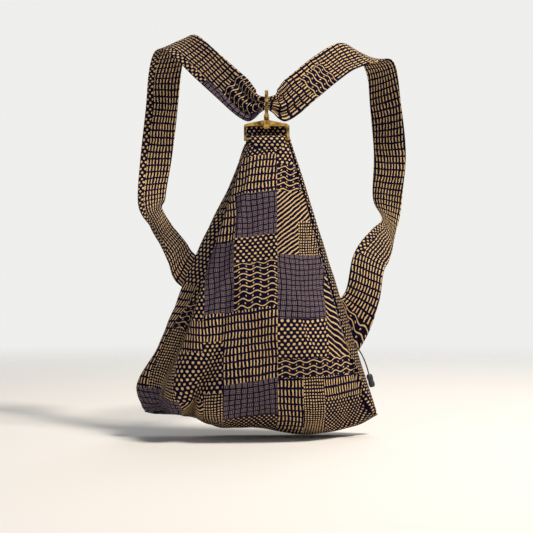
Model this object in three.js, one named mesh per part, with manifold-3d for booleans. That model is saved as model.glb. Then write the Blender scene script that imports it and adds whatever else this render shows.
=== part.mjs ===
// Triangular cloth backpack, worn: a printed cotton bag that narrows to a tab at the top, a side zip,
// one long shoulder strap, and a brass swivel clip that gathers the strap at the nape of the neck.
// Millimetres, +Z up, the wearer's back towards +Y, the origin on the flat back of the bag.
import * as THREE from "three";
import { mergeVertices } from "three/addons/utils/BufferGeometryUtils.js";
import Module from "manifold-3d";

const wasm = await Module();
wasm.setup();

// Driving dimensions of the bag
const BAG_HEIGHT = 353; // base line to the top edge of the front panel
const LEFT_REACH = 158; // centre line to the lower left corner
const RIGHT_REACH = 137; // centre line to the lower right corner
const BAG_DEPTH = 112; // back to the fullest part of the front
const CLOTH = 2.4; // outer print, interfacing and lining, sewn as one
const SEAM_GAP = 0.3; // clearance between pieces that are sewn together
const ORIGIN_HEIGHT = 150; // height of the origin above the base line
const BELLY_HEIGHT = 58; // height where the bottom starts to round under
const RIGHT_CORNER_HEIGHT = 20;
const LEFT_CORNER_HEIGHT = 40;

// Side zip: a straight groove from the lower right to the top of the front panel
const ZIP_FOOT = new THREE.Vector3(100.5, -42, 92);
const ZIP_HEAD_X = 26.5;
const ZIP_HEAD_Y = -16;
const ZIP_GROOVE = 8; // open width between the two cloth edges
const BAND_SETBACK = 1.3; // the side band's edge, from the back panel
const BAND_REACH = 0.92; // share of the way from the zip's foot to the corner
const ZIP_TAPE_WIDTH = 4.2;
const ZIP_SINK = 1; // from the cloth's inner face down to the tapes
const ZIP_TAPE_THICK = 0.9;
const ZIP_TEETH_WIDTH = 3.2;
const ZIP_TEETH_THICK = 2;
const ZIP_PITCH = 5;
const ZIP_END_MARGIN = 7; // from the ends of the groove to the stops
const STOP_LENGTH = 3;
const SLIDER_LENGTH = 11;
const SLIDER_WALL = 1;
const SLIDER_TOP = 1.5;
const SLIDER_REST = 16; // along the zip, from its foot to the slider's middle
const CORD_DIAMETER = 1.6;
const GRIP_LENGTH = 16;
const GRIP_WIDTH = 8.6;
const GRIP_THICK = 7.4;

// Swivel clip: a loop that the top tab is sewn round, and a hook with a sprung gate
const CLIP_Y = -14;
const BAR_HEIGHT = BAG_HEIGHT + 4; // the loop's bar, above the base line
const BAR_RADIUS = 2;
const BAR_CLEARANCE = 0.4;
const TAB_WIDTH = 32;
const TAB_TAIL = 26;
const LOOP_INNER_WIDTH = 49;
const LOOP_LEG = 3;
const LOOP_THICK = 3.4;
const LOOP_WINDOW = 15.5; // bar centre to the underside of the arms
const LOOP_SHOULDER = 18.5; // bar centre to the top of the arms at the corners
const LOOP_PEAK = 23; // bar centre to the top of the arms at the boss
const LOOP_CORNER = 3;
const BOSS_RADIUS = 4.6;
const POST_RADIUS = 2;
const POST_CLEARANCE = 0.3;
const WASHER_THICK = 1.4;
const PEEN_THICK = 1.2;
const HOOK_BASE = 6; // height of the block that carries the gate's pin
const HOOK_THROAT = 9.5; // inner radius of the hook's bend
const HOOK_WIRE = 3.6;
const HOOK_THICK = 4.2;
const HOOK_BASE_THICK = 6.4;
const HOOK_BEND = 47; // bar centre to the centre of the bend
const NOSE_DROP = 3.6; // how far the nose comes down below the bend's centre
const GATE_THICK = 2.2;
const GATE_WIDTH = 3;
const GATE_PIN_RADIUS = 1;
const GATE_EAR = 2.3;

// Shoulder strap: one flat tube of the print, gathered where it runs through the hook
const STRAP_WIDTH = 44;
const STRAP_THICK = 3.2;
const GATHER_HEIGHT = 15;
const GATHER_THICK = 4.8;
const STRAP_FOOT = 0.3725 * BAG_HEIGHT; // height that the strap's route is measured down to
const LEFT_END_LOW = 0.49 * BAG_HEIGHT; // the stretch of the bag's edge that each strap end is sewn to
const LEFT_END_HIGH = 0.6 * BAG_HEIGHT;
const RIGHT_END_LOW = 0.27 * BAG_HEIGHT;
const RIGHT_END_HIGH = 0.45 * BAG_HEIGHT;
const STRAP_REACH = 168; // the route's greatest distance from the centre line
const STRAP_BULGE = 205; // and forward of the gather, round the wearer's chest
const STRAP_SETBACK = 1.4; // a strap end, from the slightly curved edge it is sewn to

const COLOURS = {
  print: 0x2a2540,
  tape: 0x77726f,
  teeth: 0x5d5957,
  brass: 0x9a7838,
  cord: 0x1c1d1f,
};
const cotton = new THREE.MeshStandardMaterial({ color: COLOURS.print, roughness: 0.85, metalness: 0 });
const tapeCloth = new THREE.MeshStandardMaterial({ color: COLOURS.tape, roughness: 0.9, metalness: 0 });
const coilNylon = new THREE.MeshStandardMaterial({ color: COLOURS.teeth, roughness: 0.5, metalness: 0 });
const brass = new THREE.MeshStandardMaterial({ color: COLOURS.brass, roughness: 0.38, metalness: 1 });
const darkCord = new THREE.MeshStandardMaterial({ color: COLOURS.cord, roughness: 0.7, metalness: 0 });

const backpack = new THREE.Group();
backpack.position.z = -ORIGIN_HEIGHT;
const SEAM_Y = -(CLOTH + SEAM_GAP); // plane where the front pieces meet the back panel
const vec = (x, y, z) => new THREE.Vector3(x, y, z);
const mix = THREE.MathUtils.lerp;
const smooth = THREE.MathUtils.smoothstep;

function add(name, geometry, material, parent = backpack) {
  const mesh = new THREE.Mesh(geometry, material);
  mesh.name = name;
  parent.add(mesh);
  return mesh;
}

// A value read from a short list of [where, value] pairs, with a smooth curve through them.
function curveThrough(pairs) {
  const curve = new THREE.SplineCurve(pairs.map(([a, b]) => new THREE.Vector2(a, b)));
  const samples = curve.getPoints(24 * pairs.length);
  return (where) => {
    const next = samples.findIndex((p) => p.x >= where);
    if (next <= 0) return samples.at(next === 0 ? 0 : -1).y;
    const [p, q] = [samples[next - 1], samples[next]];
    return mix(p.y, q.y, (where - p.x) / (q.x - p.x || 1));
  };
}

// Closed surfaces: triangles are turned round together if they come out facing inwards.
function closedGeometry(points, triangles) {
  let volume = 0;
  for (const [a, b, c] of triangles) {
    volume += points[a].dot(new THREE.Vector3().crossVectors(points[b], points[c]));
  }
  const facing = volume < 0 ? triangles.map(([a, b, c]) => [a, c, b]) : triangles;
  const geometry = new THREE.BufferGeometry().setFromPoints(points);
  geometry.setIndex(facing.flat());
  return geometry;
}

// A sheet with thickness from two grids of points, [row][column], one for each face.
function shell(outer, inner) {
  const rows = outer.length;
  const columns = outer[0].length;
  const at = (face, r, c) => face * rows * columns + r * columns + c;
  const triangles = [];
  const quad = (a, b, c, d) => triangles.push([a, b, c], [a, c, d]);
  for (let r = 0; r + 1 < rows; r++) {
    for (let c = 0; c + 1 < columns; c++) {
      quad(at(0, r, c), at(0, r, c + 1), at(0, r + 1, c + 1), at(0, r + 1, c));
      quad(at(1, r, c), at(1, r + 1, c), at(1, r + 1, c + 1), at(1, r, c + 1));
    }
  }
  for (let r = 0; r + 1 < rows; r++) {
    quad(at(0, r + 1, 0), at(1, r + 1, 0), at(1, r, 0), at(0, r, 0));
    quad(at(0, r, columns - 1), at(1, r, columns - 1), at(1, r + 1, columns - 1), at(0, r + 1, columns - 1));
  }
  for (let c = 0; c + 1 < columns; c++) {
    quad(at(0, 0, c), at(1, 0, c), at(1, 0, c + 1), at(0, 0, c + 1));
    quad(at(0, rows - 1, c + 1), at(1, rows - 1, c + 1), at(1, rows - 1, c), at(0, rows - 1, c));
  }
  return closedGeometry([...outer.flat(), ...inner.flat()], triangles);
}

// A solid through a row of closed rings with the same number of points, with flat ends.
function loft(rings) {
  const sides = rings[0].length;
  const triangles = [];
  rings.slice(1).forEach((_, k) => {
    for (let s = 0; s < sides; s++) {
      const next = (s + 1) % sides;
      const [a, b] = [k * sides + s, k * sides + next];
      triangles.push([a, b, b + sides], [a, b + sides, a + sides]);
    }
  });
  const last = (rings.length - 1) * sides;
  for (let s = 1; s + 1 < sides; s++) {
    triangles.push([0, s + 1, s], [last, last + s, last + s + 1]);
  }
  return closedGeometry(rings.flat(), triangles);
}

// Joining and cutting
function solid(geometry) {
  const bare = geometry.index ? geometry.toNonIndexed() : geometry.clone();
  bare.deleteAttribute("normal");
  bare.deleteAttribute("uv");
  const merged = mergeVertices(bare, 1e-4);
  const vertProperties = merged.attributes.position.array;
  const triVerts = new Uint32Array(merged.index.array);
  return new wasm.Manifold(new wasm.Mesh({ numProp: 3, vertProperties, triVerts }));
}
function geometryOf(made) {
  const mesh = made.getMesh();
  const geometry = new THREE.BufferGeometry();
  geometry.setAttribute("position", new THREE.BufferAttribute(mesh.vertProperties, 3));
  geometry.setIndex(new THREE.BufferAttribute(mesh.triVerts, 1));
  return geometry;
}
const rodAlong = (axis, radius, length, sides) => {
  const rod = new THREE.CylinderGeometry(radius, radius, length, sides);
  if (axis === "x") rod.rotateZ(Math.PI / 2);
  if (axis === "z") rod.rotateX(Math.PI / 2);
  return rod;
};
const bevelled = (depth, bevel) => ({
  depth: depth - 2 * bevel,
  bevelEnabled: true,
  bevelThickness: bevel,
  bevelSize: bevel,
  bevelOffset: -bevel,
  bevelSegments: 1,
  curveSegments: 10,
});

// The zip's own frame: x runs up the zip, y across it towards the front, z out of the cloth
const zipHead = vec(ZIP_HEAD_X, ZIP_HEAD_Y, BAG_HEIGHT);
const zipLength = zipHead.distanceTo(ZIP_FOOT);
const zipUp = zipHead.clone().sub(ZIP_FOOT).normalize();
const rightCorner = vec(RIGHT_REACH, SEAM_Y, RIGHT_CORNER_HEIGHT);
const zipOut = rightCorner.clone().sub(ZIP_FOOT).cross(zipUp).normalize();
const zipAcross = zipOut.clone().cross(zipUp).normalize();
const zipPoint = (along, across = 0, out = 0) =>
  ZIP_FOOT.clone().addScaledVector(zipUp, along).addScaledVector(zipAcross, across).addScaledVector(zipOut, out);
const zipGroup = new THREE.Group();
zipGroup.matrix.makeBasis(zipUp, zipAcross, zipOut).setPosition(ZIP_FOOT);
zipGroup.matrix.decompose(zipGroup.position, zipGroup.quaternion, zipGroup.scale);
backpack.add(zipGroup);
const acrossToBack = (along) => (SEAM_Y - zipPoint(along).y) / zipAcross.y;

// The front panel's edge on the right: the zip, and below it a seam to the lower right corner.
function rightEdge(height) {
  const from = height > ZIP_FOOT.z ? zipHead : rightCorner;
  return ZIP_FOOT.clone().lerp(from, (height - ZIP_FOOT.z) / (from.z - ZIP_FOOT.z));
}

// Shares of the bag's height, with the reach of the left side and the fullness of the front there
const leftReach = curveThrough(
  [[0.12, 1], [0.16, 0.985], [0.27, 0.868], [0.45, 0.7], [0.64, 0.522], [0.82, 0.341], [0.95, 0.21], [1, 0.166]],
);
const fullness = curveThrough(
  [[0.12, 0.9], [0.27, 1], [0.45, 0.87], [0.64, 0.68], [0.82, 0.455], [0.95, 0.285], [1, 0.225]],
);
// Height of the bottom seam, from the right corner (0) to the left corner (1), above the base line
const bottomSeam = curveThrough(
  [[0, RIGHT_CORNER_HEIGHT], [0.11, 5], [0.25, 0], [0.45, 4], [0.63, 7], [0.74, 18], [0.83, 20], [0.92, 21],
    [1, LEFT_CORNER_HEIGHT]],
);
// Round the front from the zip (0) to the left seam: place across the width, and share of the depth.
// After the fullest part comes the front left edge, then a gusset that folds in, then the left roll.
const SECTION = [
  { across: 0, depth: 0 },
  { across: 0.075, depth: 0.45 },
  { across: 0.26, depth: 0.9 },
  { across: 0.5, depth: 1 },
  { across: 0.72, depth: 0.97 },
  { across: 0.845, depth: 0.84 },
  { across: 0.915, depth: 0.5 },
  { across: 1, depth: 0.27 },
  { across: 0.97, depth: 0 },
];
const FULLEST = 3;
const SEAM_SHARES = [0, 0.1, 0.27, 0.48, 0.67, 0.79, 0.875, 0.935, 0.972];
// Creases that the load pulls in the cloth, round ridges and sharp grooves: along the panel from a to b, in
// shares of its two ways
const CREASES = [
  { a: [0.475, 0.42], b: [0.575, 0.09], width: 0.026, depth: -17 },
  { a: [0.466, 0.64], b: [0.475, 0.42], width: 0.024, depth: -5 },
  { a: [0.545, 0.5], b: [0.635, 0.1], width: 0.045, depth: 6 },
  { a: [0.43, 0.36], b: [0.465, 0.08], width: 0.03, depth: 4.5 },
  { a: [0.715, 0.24], b: [0.72, 0.9], width: 0.042, depth: -14 },
  { a: [0.85, 0.2], b: [0.86, 0.75], width: 0.05, depth: 3 },
  { a: [0.28, 0.06], b: [0.2, 0.3], width: 0.045, depth: 4 },
  { a: [0.47, 0.66], b: [0.5, 0.92], width: 0.035, depth: 2.5 },
];
const PANEL_COLUMNS = 40;
const PANEL_ROWS = 28;

function wallPoint(column, height) {
  const right = rightEdge(height);
  const left = -LEFT_REACH * leftReach(height / BAG_HEIGHT);
  const full = -BAG_DEPTH * fullness(height / BAG_HEIGHT);
  const { across, depth } = SECTION[column];
  const x = mix(right.x, left, across);
  const start = column <= FULLEST ? right.y : SEAM_Y;
  return vec(x, mix(start, full, depth), height);
}

// A point of the panel's control net: rows 0 to 3 round under to the bottom seam, the rest climb the walls.
const UNDER_ROWS = 3;
const WALL_ROWS = 6;
function netPoint(column, row) {
  if (row >= UNDER_ROWS) {
    return wallPoint(column, mix(BELLY_HEIGHT, BAG_HEIGHT, (row - UNDER_ROWS) / WALL_ROWS));
  }
  const share = SEAM_SHARES[column];
  const seam = vec(mix(RIGHT_REACH, -LEFT_REACH, share), SEAM_Y, bottomSeam(share));
  const wall = wallPoint(column, BELLY_HEIGHT);
  const angle = (row / UNDER_ROWS) * (Math.PI / 2);
  const ahead = Math.sin(angle);
  return vec(mix(seam.x, wall.x, ahead), mix(seam.y, wall.y, ahead), mix(wall.z, seam.z, Math.cos(angle)));
}

function creaseAt(across, up) {
  let depth = 0;
  for (const crease of CREASES) {
    const [ax, ay] = crease.a;
    const [bx, by] = crease.b;
    const along = THREE.MathUtils.clamp(
      ((across - ax) * (bx - ax) + (up - ay) * (by - ay)) / ((bx - ax) ** 2 + (by - ay) ** 2), 0, 1);
    const gap = Math.hypot(across - mix(ax, bx, along), up - mix(ay, by, along)) / crease.width;
    const shape = crease.depth > 0 ? Math.exp(-gap * gap) : Math.exp(-1.3 * gap);
    depth += crease.depth * shape * Math.sin(Math.PI * mix(0.12, 0.88, along));
  }
  const edge = smooth(across, 0, 0.06) * smooth(1 - across, 0, 0.06) * smooth(up, 0, 0.06) * smooth(1 - up, 0, 0.1);
  return depth * edge;
}

// The panel's outer face as a grid of points, [row][column], from the bottom seam to the top edge.
function frontGrid() {
  const climbs = SECTION.map((_, column) => {
    const points = [];
    for (let row = 0; row <= UNDER_ROWS + WALL_ROWS; row++) points.push(netPoint(column, row));
    return new THREE.CatmullRomCurve3(points, false, "centripetal");
  });
  const grid = [];
  for (let r = 0; r <= PANEL_ROWS; r++) {
    const round = new THREE.CatmullRomCurve3(climbs.map((c) => c.getPoint(r / PANEL_ROWS)), false, "centripetal");
    grid.push(round.getPoints(PANEL_COLUMNS));
  }
  // The edges lie exactly where their neighbours are
  grid.forEach((row) => {
    row[0].copy(rightEdge(Math.max(row[0].z, RIGHT_CORNER_HEIGHT)));
    row.at(-1).y = SEAM_Y;
  });
  grid[0].forEach((p) => (p.y = SEAM_Y));
  return grid;
}

function outward(grid, r, c) {
  const rows = grid.length - 1;
  const columns = grid[0].length - 1;
  const along = grid[r][Math.min(c + 1, columns)].clone().sub(grid[r][Math.max(c - 1, 0)]);
  const up = grid[Math.min(r + 1, rows)][c].clone().sub(grid[Math.max(r - 1, 0)][c]);
  const normal = up.cross(along).normalize();
  if (c === 0) normal.copy(zipOut);
  if (r === 0 || c === columns) normal.setY(0).normalize();
  if (r === rows) normal.setZ(0).normalize();
  return normal;
}

const plainGrid = frontGrid();
function frontPanel() {
  const normals = plainGrid.map((row, r) => row.map((_, c) => outward(plainGrid, r, c)));
  const lifted = (r, c, by) => {
    const point = plainGrid[r][c].clone().addScaledVector(normals[r][c], by);
    return point.setY(Math.min(point.y, SEAM_Y));
  };
  const outer = plainGrid.map((row, r) =>
    row.map((_, c) => lifted(r, c, creaseAt(c / PANEL_COLUMNS, r / PANEL_ROWS))));
  const inner = plainGrid.map((row, r) =>
    row.map((_, c) => lifted(r, c, creaseAt(c / PANEL_COLUMNS, r / PANEL_ROWS) - CLOTH)));
  return shell(outer, inner);
}
add("front_panel", frontPanel(), cotton);

// Back panel: flat against the wearer, and taller than the front behind the clip
const BACK_TOP_LEFT = BAG_HEIGHT + 19;
const BACK_TOP_RIGHT = BAG_HEIGHT + 24;
const backEdge = (along) => zipPoint(along, acrossToBack(along));
function backPanel() {
  const outline = new THREE.Shape();
  const corner = backEdge(zipLength);
  plainGrid[0].forEach((p, k) => (k ? outline.lineTo(p.x, p.z) : outline.moveTo(p.x, p.z)));
  plainGrid.slice(1).forEach((row) => outline.lineTo(row.at(-1).x, row.at(-1).z));
  outline.lineTo(plainGrid.at(-1).at(-1).x, BACK_TOP_LEFT);
  outline.lineTo(corner.x - CLOTH, BACK_TOP_RIGHT);
  outline.lineTo(corner.x, corner.z);
  const panel = new THREE.ExtrudeGeometry(outline, { depth: CLOTH, bevelEnabled: false });
  return panel.rotateX(Math.PI / 2);
}
add("back_panel", backPanel(), cotton);

// Side band: the strip of print between the zip and the back, running down to the lower right corner
function sideBand() {
  const local = (point) => {
    const from = point.clone().sub(ZIP_FOOT);
    return new THREE.Vector2(from.dot(zipUp), from.dot(zipAcross));
  };
  const tip = local(rightCorner);
  const outline = new THREE.Shape();
  const backAt = (along) => acrossToBack(along) + BAND_SETBACK;
  const foot = tip.x * BAND_REACH;
  outline.moveTo(zipLength, -ZIP_GROOVE);
  outline.lineTo(zipLength, backAt(zipLength));
  outline.lineTo(foot, backAt(foot));
  outline.lineTo(foot, tip.y * BAND_REACH - 2 * SEAM_GAP);
  outline.lineTo((-ZIP_GROOVE * tip.x) / tip.y, -ZIP_GROOVE - 2 * SEAM_GAP);
  const band = new THREE.ExtrudeGeometry(outline, { depth: CLOTH, bevelEnabled: false });
  return band.translate(0, 0, -CLOTH);
}
add("side_band", sideBand(), cotton, zipGroup);

// Top tab: a folded strip that holds the clip's bar, its tails sewn in between front and back
function topTab() {
  const inner = BAR_RADIUS + BAR_CLEARANCE;
  const outer = inner + CLOTH;
  const fold = new THREE.Shape();
  fold.moveTo(-outer, -TAB_TAIL);
  fold.lineTo(-outer, 0);
  fold.absarc(0, 0, outer, Math.PI, 0, true);
  fold.lineTo(outer, -TAB_TAIL);
  fold.lineTo(inner, -TAB_TAIL);
  fold.lineTo(inner, 0);
  fold.absarc(0, 0, inner, 0, Math.PI, false);
  fold.lineTo(-inner, -TAB_TAIL);
  const tab = new THREE.ExtrudeGeometry(fold, { depth: TAB_WIDTH, bevelEnabled: false, curveSegments: 8 });
  tab.rotateX(Math.PI / 2).rotateZ(Math.PI / 2);
  return tab.translate(-TAB_WIDTH / 2, 0, 0);
}
const clip = new THREE.Group();
clip.position.set(0, CLIP_Y, BAR_HEIGHT);
backpack.add(clip);
add("top_tab", topTab(), cotton, clip);

// Clip loop: two legs, tapering arms that meet in a bored boss, and the round bar
const loopReach = LOOP_INNER_WIDTH / 2 + LOOP_LEG;
function clipLoop() {
  const inside = LOOP_INNER_WIDTH / 2;
  const frame = new THREE.Shape();
  frame.moveTo(-loopReach, 0);
  frame.lineTo(-loopReach, LOOP_SHOULDER - LOOP_CORNER);
  frame.quadraticCurveTo(-loopReach, LOOP_SHOULDER, -loopReach + LOOP_CORNER, LOOP_SHOULDER + 0.4);
  frame.lineTo(-BOSS_RADIUS, LOOP_PEAK);
  frame.lineTo(BOSS_RADIUS, LOOP_PEAK);
  frame.lineTo(loopReach - LOOP_CORNER, LOOP_SHOULDER + 0.4);
  frame.quadraticCurveTo(loopReach, LOOP_SHOULDER, loopReach, LOOP_SHOULDER - LOOP_CORNER);
  frame.lineTo(loopReach, 0);
  frame.lineTo(inside, 0);
  frame.lineTo(inside, LOOP_WINDOW - LOOP_CORNER);
  frame.quadraticCurveTo(inside, LOOP_WINDOW, inside - LOOP_CORNER, LOOP_WINDOW);
  frame.lineTo(-inside + LOOP_CORNER, LOOP_WINDOW);
  frame.quadraticCurveTo(-inside, LOOP_WINDOW, -inside, LOOP_WINDOW - LOOP_CORNER);
  frame.lineTo(-inside, 0);
  const plate = new THREE.ExtrudeGeometry(frame, bevelled(LOOP_THICK, 0.6));
  plate.rotateX(Math.PI / 2).translate(0, LOOP_THICK / 2 - 0.6, 0);
  const bossHeight = LOOP_PEAK - LOOP_WINDOW;
  const boss = rodAlong("z", BOSS_RADIUS, bossHeight, 24).translate(0, 0, LOOP_WINDOW + bossHeight / 2);
  const bar = rodAlong("x", BAR_RADIUS, 2 * loopReach, 16);
  const bore = rodAlong("z", POST_RADIUS + POST_CLEARANCE, 3 * bossHeight, 20).translate(0, 0, LOOP_PEAK);
  return geometryOf(solid(plate).add(solid(boss)).add(solid(bar)).subtract(solid(bore)));
}
add("clip_loop", clipLoop(), brass, clip);

// Swivel washer: rides on the post under the boss, above the post's peened end
const washerTop = LOOP_WINDOW - POST_CLEARANCE;
function swivelWasher() {
  const bore = POST_RADIUS + POST_CLEARANCE;
  const ring = [[bore, 0], [BOSS_RADIUS, 0], [BOSS_RADIUS, WASHER_THICK], [bore, WASHER_THICK], [bore, 0]];
  const washer = new THREE.LatheGeometry(ring.map(([r, z]) => new THREE.Vector2(r, z)), 24);
  return washer.rotateX(Math.PI / 2).translate(0, 0, washerTop - WASHER_THICK);
}
add("swivel_washer", swivelWasher(), brass, clip);

// Hook: the post, the block with the gate's ears, the spine on the wearer's side, the bend and the nose
const hookFoot = LOOP_PEAK + POST_CLEARANCE;
const hookReach = HOOK_THROAT + HOOK_WIRE;
const gatePin = { y: -hookReach + GATE_EAR + 0.8, z: hookFoot + HOOK_BASE / 2 + 0.6 };
const inClipPlane = (geometry, thick) => geometry.rotateX(Math.PI / 2).rotateZ(Math.PI / 2).translate(-thick / 2, 0, 0);
function hookBody() {
  const bend = new THREE.Shape();
  const baseTop = hookFoot + HOOK_BASE;
  bend.moveTo(-1, hookFoot + 1);
  bend.lineTo(HOOK_THROAT - 2, hookFoot + 1);
  bend.quadraticCurveTo(hookReach, hookFoot + 1.5, hookReach, baseTop + 4);
  bend.lineTo(hookReach, HOOK_BEND);
  bend.absarc(0, HOOK_BEND, hookReach, 0, Math.PI, false);
  bend.lineTo(-hookReach, HOOK_BEND - NOSE_DROP + 1);
  bend.lineTo(-HOOK_THROAT - 0.6, HOOK_BEND - NOSE_DROP);
  bend.lineTo(-HOOK_THROAT, HOOK_BEND - NOSE_DROP + 1);
  bend.lineTo(-HOOK_THROAT, HOOK_BEND);
  bend.absarc(0, HOOK_BEND, HOOK_THROAT, Math.PI, 0, true);
  bend.lineTo(HOOK_THROAT, baseTop + 5);
  bend.quadraticCurveTo(HOOK_THROAT, baseTop - 1, 3, baseTop - 1.4);
  bend.lineTo(-1, baseTop - 1.4);
  const wire = new THREE.ExtrudeGeometry(bend, bevelled(HOOK_THICK, 0.8));
  const block = new THREE.Shape();
  block.moveTo(3.5, hookFoot);
  block.lineTo(3.5, baseTop);
  block.lineTo(gatePin.y, gatePin.z + GATE_EAR);
  block.absarc(gatePin.y, gatePin.z, GATE_EAR, Math.PI / 2, Math.PI * 1.5, false);
  block.lineTo(-3, hookFoot);
  const base = inClipPlane(new THREE.ExtrudeGeometry(block, bevelled(HOOK_BASE_THICK, 0.5)), HOOK_BASE_THICK - 1);
  const slotWidth = GATE_WIDTH + 2 * SEAM_GAP;
  const slotLength = 2 * GATE_EAR + 3;
  const slot = new THREE.BoxGeometry(slotWidth, slotLength, 3 * GATE_EAR);
  slot.translate(0, gatePin.y - 0.4, gatePin.z + 0.4);
  const pinBore = rodAlong("x", GATE_PIN_RADIUS + SEAM_GAP, 2 * HOOK_BASE_THICK, 12);
  pinBore.translate(0, gatePin.y, gatePin.z);
  const postFoot = washerTop - WASHER_THICK - POST_CLEARANCE;
  const postLength = hookFoot + 1 - postFoot;
  const post = rodAlong("z", POST_RADIUS, postLength, 20).translate(0, 0, postFoot + postLength / 2);
  const peen = rodAlong("z", POST_RADIUS + 1, PEEN_THICK, 20).translate(0, 0, postFoot - PEEN_THICK / 2 + 0.2);
  return geometryOf(
    solid(inClipPlane(wire, HOOK_THICK - 1.6)).add(solid(base)).subtract(solid(slot)).subtract(solid(pinBore))
      .add(solid(post)).add(solid(peen)));
}
add("hook_body", hookBody(), brass, clip);

// Gate: a flat lever from its pin up to the inside of the nose
const gateTip = { y: -HOOK_THROAT + 0.45, z: HOOK_BEND - 1.2 };
function gateLever() {
  const lever = new THREE.Shape();
  const ear = GATE_EAR - 0.3;
  lever.absarc(gatePin.y, gatePin.z, ear, Math.PI * 0.9, Math.PI * 2.1, false);
  lever.lineTo(gateTip.y + GATE_THICK, gateTip.z - 1);
  lever.lineTo(gateTip.y + GATE_THICK - 0.6, gateTip.z);
  lever.lineTo(gateTip.y, gateTip.z);
  lever.lineTo(gateTip.y, HOOK_BEND - NOSE_DROP - 0.6);
  lever.lineTo(gatePin.y - ear, HOOK_BEND - NOSE_DROP - 3.4);
  const plate = inClipPlane(new THREE.ExtrudeGeometry(lever, bevelled(GATE_WIDTH, 0.3)), GATE_WIDTH - 0.6);
  const bore = rodAlong("x", GATE_PIN_RADIUS + SEAM_GAP, 2 * GATE_WIDTH, 12).translate(0, gatePin.y, gatePin.z);
  return geometryOf(solid(plate).subtract(solid(bore)));
}
add("hook_gate", gateLever(), brass, clip);
add("gate_pin", rodAlong("x", GATE_PIN_RADIUS, HOOK_BASE_THICK, 12).translate(0, gatePin.y, gatePin.z), brass, clip);

// Gate spring: a leaf in the slot behind the gate's round foot
const SPRING_THICK = 0.5;
function gateSpring() {
  const leaf = new THREE.BoxGeometry(GATE_WIDTH - 0.6, SPRING_THICK, GATE_EAR + 0.7);
  return leaf.translate(0, gatePin.y + GATE_EAR + SEAM_GAP + SPRING_THICK / 2, gatePin.z - 0.6);
}
add("gate_spring", gateSpring(), brass, clip);

// Zip: two tapes under the cloth edges, the closed teeth, a stop at each end
const tapeTop = -CLOTH - ZIP_SINK;
const teethTop = tapeTop + ZIP_TEETH_THICK;
const zipMiddle = -ZIP_GROOVE / 2;
const teethLength = zipLength - 2 * ZIP_END_MARGIN;
function zipTape(side) {
  const tape = new THREE.BoxGeometry(zipLength - 4, ZIP_TAPE_WIDTH, ZIP_TAPE_THICK);
  const off = side * (ZIP_TEETH_WIDTH / 2 + SEAM_GAP + ZIP_TAPE_WIDTH / 2);
  return tape.translate(zipLength / 2, zipMiddle + off, tapeTop - ZIP_TAPE_THICK / 2);
}
add("zip_tape_front", zipTape(1), tapeCloth, zipGroup);
add("zip_tape_rear", zipTape(-1), tapeCloth, zipGroup);
function zipTeeth() {
  const comb = new THREE.Shape();
  const count = Math.floor(teethLength / ZIP_PITCH);
  const low = tapeTop - ZIP_TAPE_THICK;
  comb.moveTo(0, low);
  for (let k = 0; k < count; k++) {
    const from = k * ZIP_PITCH;
    comb.lineTo(from, teethTop - 0.9);
    comb.lineTo(from + 0.2 * ZIP_PITCH, teethTop);
    comb.lineTo(from + 0.6 * ZIP_PITCH, teethTop);
    comb.lineTo(from + 0.8 * ZIP_PITCH, teethTop - 0.9);
  }
  comb.lineTo(count * ZIP_PITCH, teethTop - 0.9);
  comb.lineTo(count * ZIP_PITCH, low);
  const teeth = new THREE.ExtrudeGeometry(comb, { depth: ZIP_TEETH_WIDTH, bevelEnabled: false });
  return teeth.rotateX(Math.PI / 2).translate(ZIP_END_MARGIN, zipMiddle + ZIP_TEETH_WIDTH / 2, 0);
}
add("zip_teeth", zipTeeth(), coilNylon, zipGroup);
function zipStop(along) {
  const stop = new THREE.Shape();
  stop.absellipse(0, 0, STOP_LENGTH / 2, ZIP_TEETH_WIDTH / 2 + 0.6, 0, 2 * Math.PI);
  const crimp = new THREE.ExtrudeGeometry(stop, { ...bevelled(ZIP_TEETH_THICK, 0.4), curveSegments: 6 });
  return crimp.translate(along, zipMiddle, tapeTop + SEAM_GAP + 0.4);
}
add("zip_bottom_stop", zipStop(ZIP_END_MARGIN - STOP_LENGTH / 2 - SEAM_GAP), brass, zipGroup);
add("zip_top_stop", zipStop(zipLength - ZIP_END_MARGIN + STOP_LENGTH / 2 + SEAM_GAP), brass, zipGroup);

// Zip end: the tapes' folded upper ends, sewn flat on the back panel beside the clip
const TAPE_END = { width: 4, height: 17 };
function zipEnd() {
  const end = new THREE.BoxGeometry(TAPE_END.width, 1.2, TAPE_END.height);
  const corner = backEdge(zipLength);
  const x = corner.x - CLOTH - TAPE_END.width / 2 - 0.5;
  return end.translate(x, SEAM_Y - 0.6, BAG_HEIGHT + TAPE_END.height / 2 + 5);
}
add("zip_tape_end", zipEnd(), tapeCloth);

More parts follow.
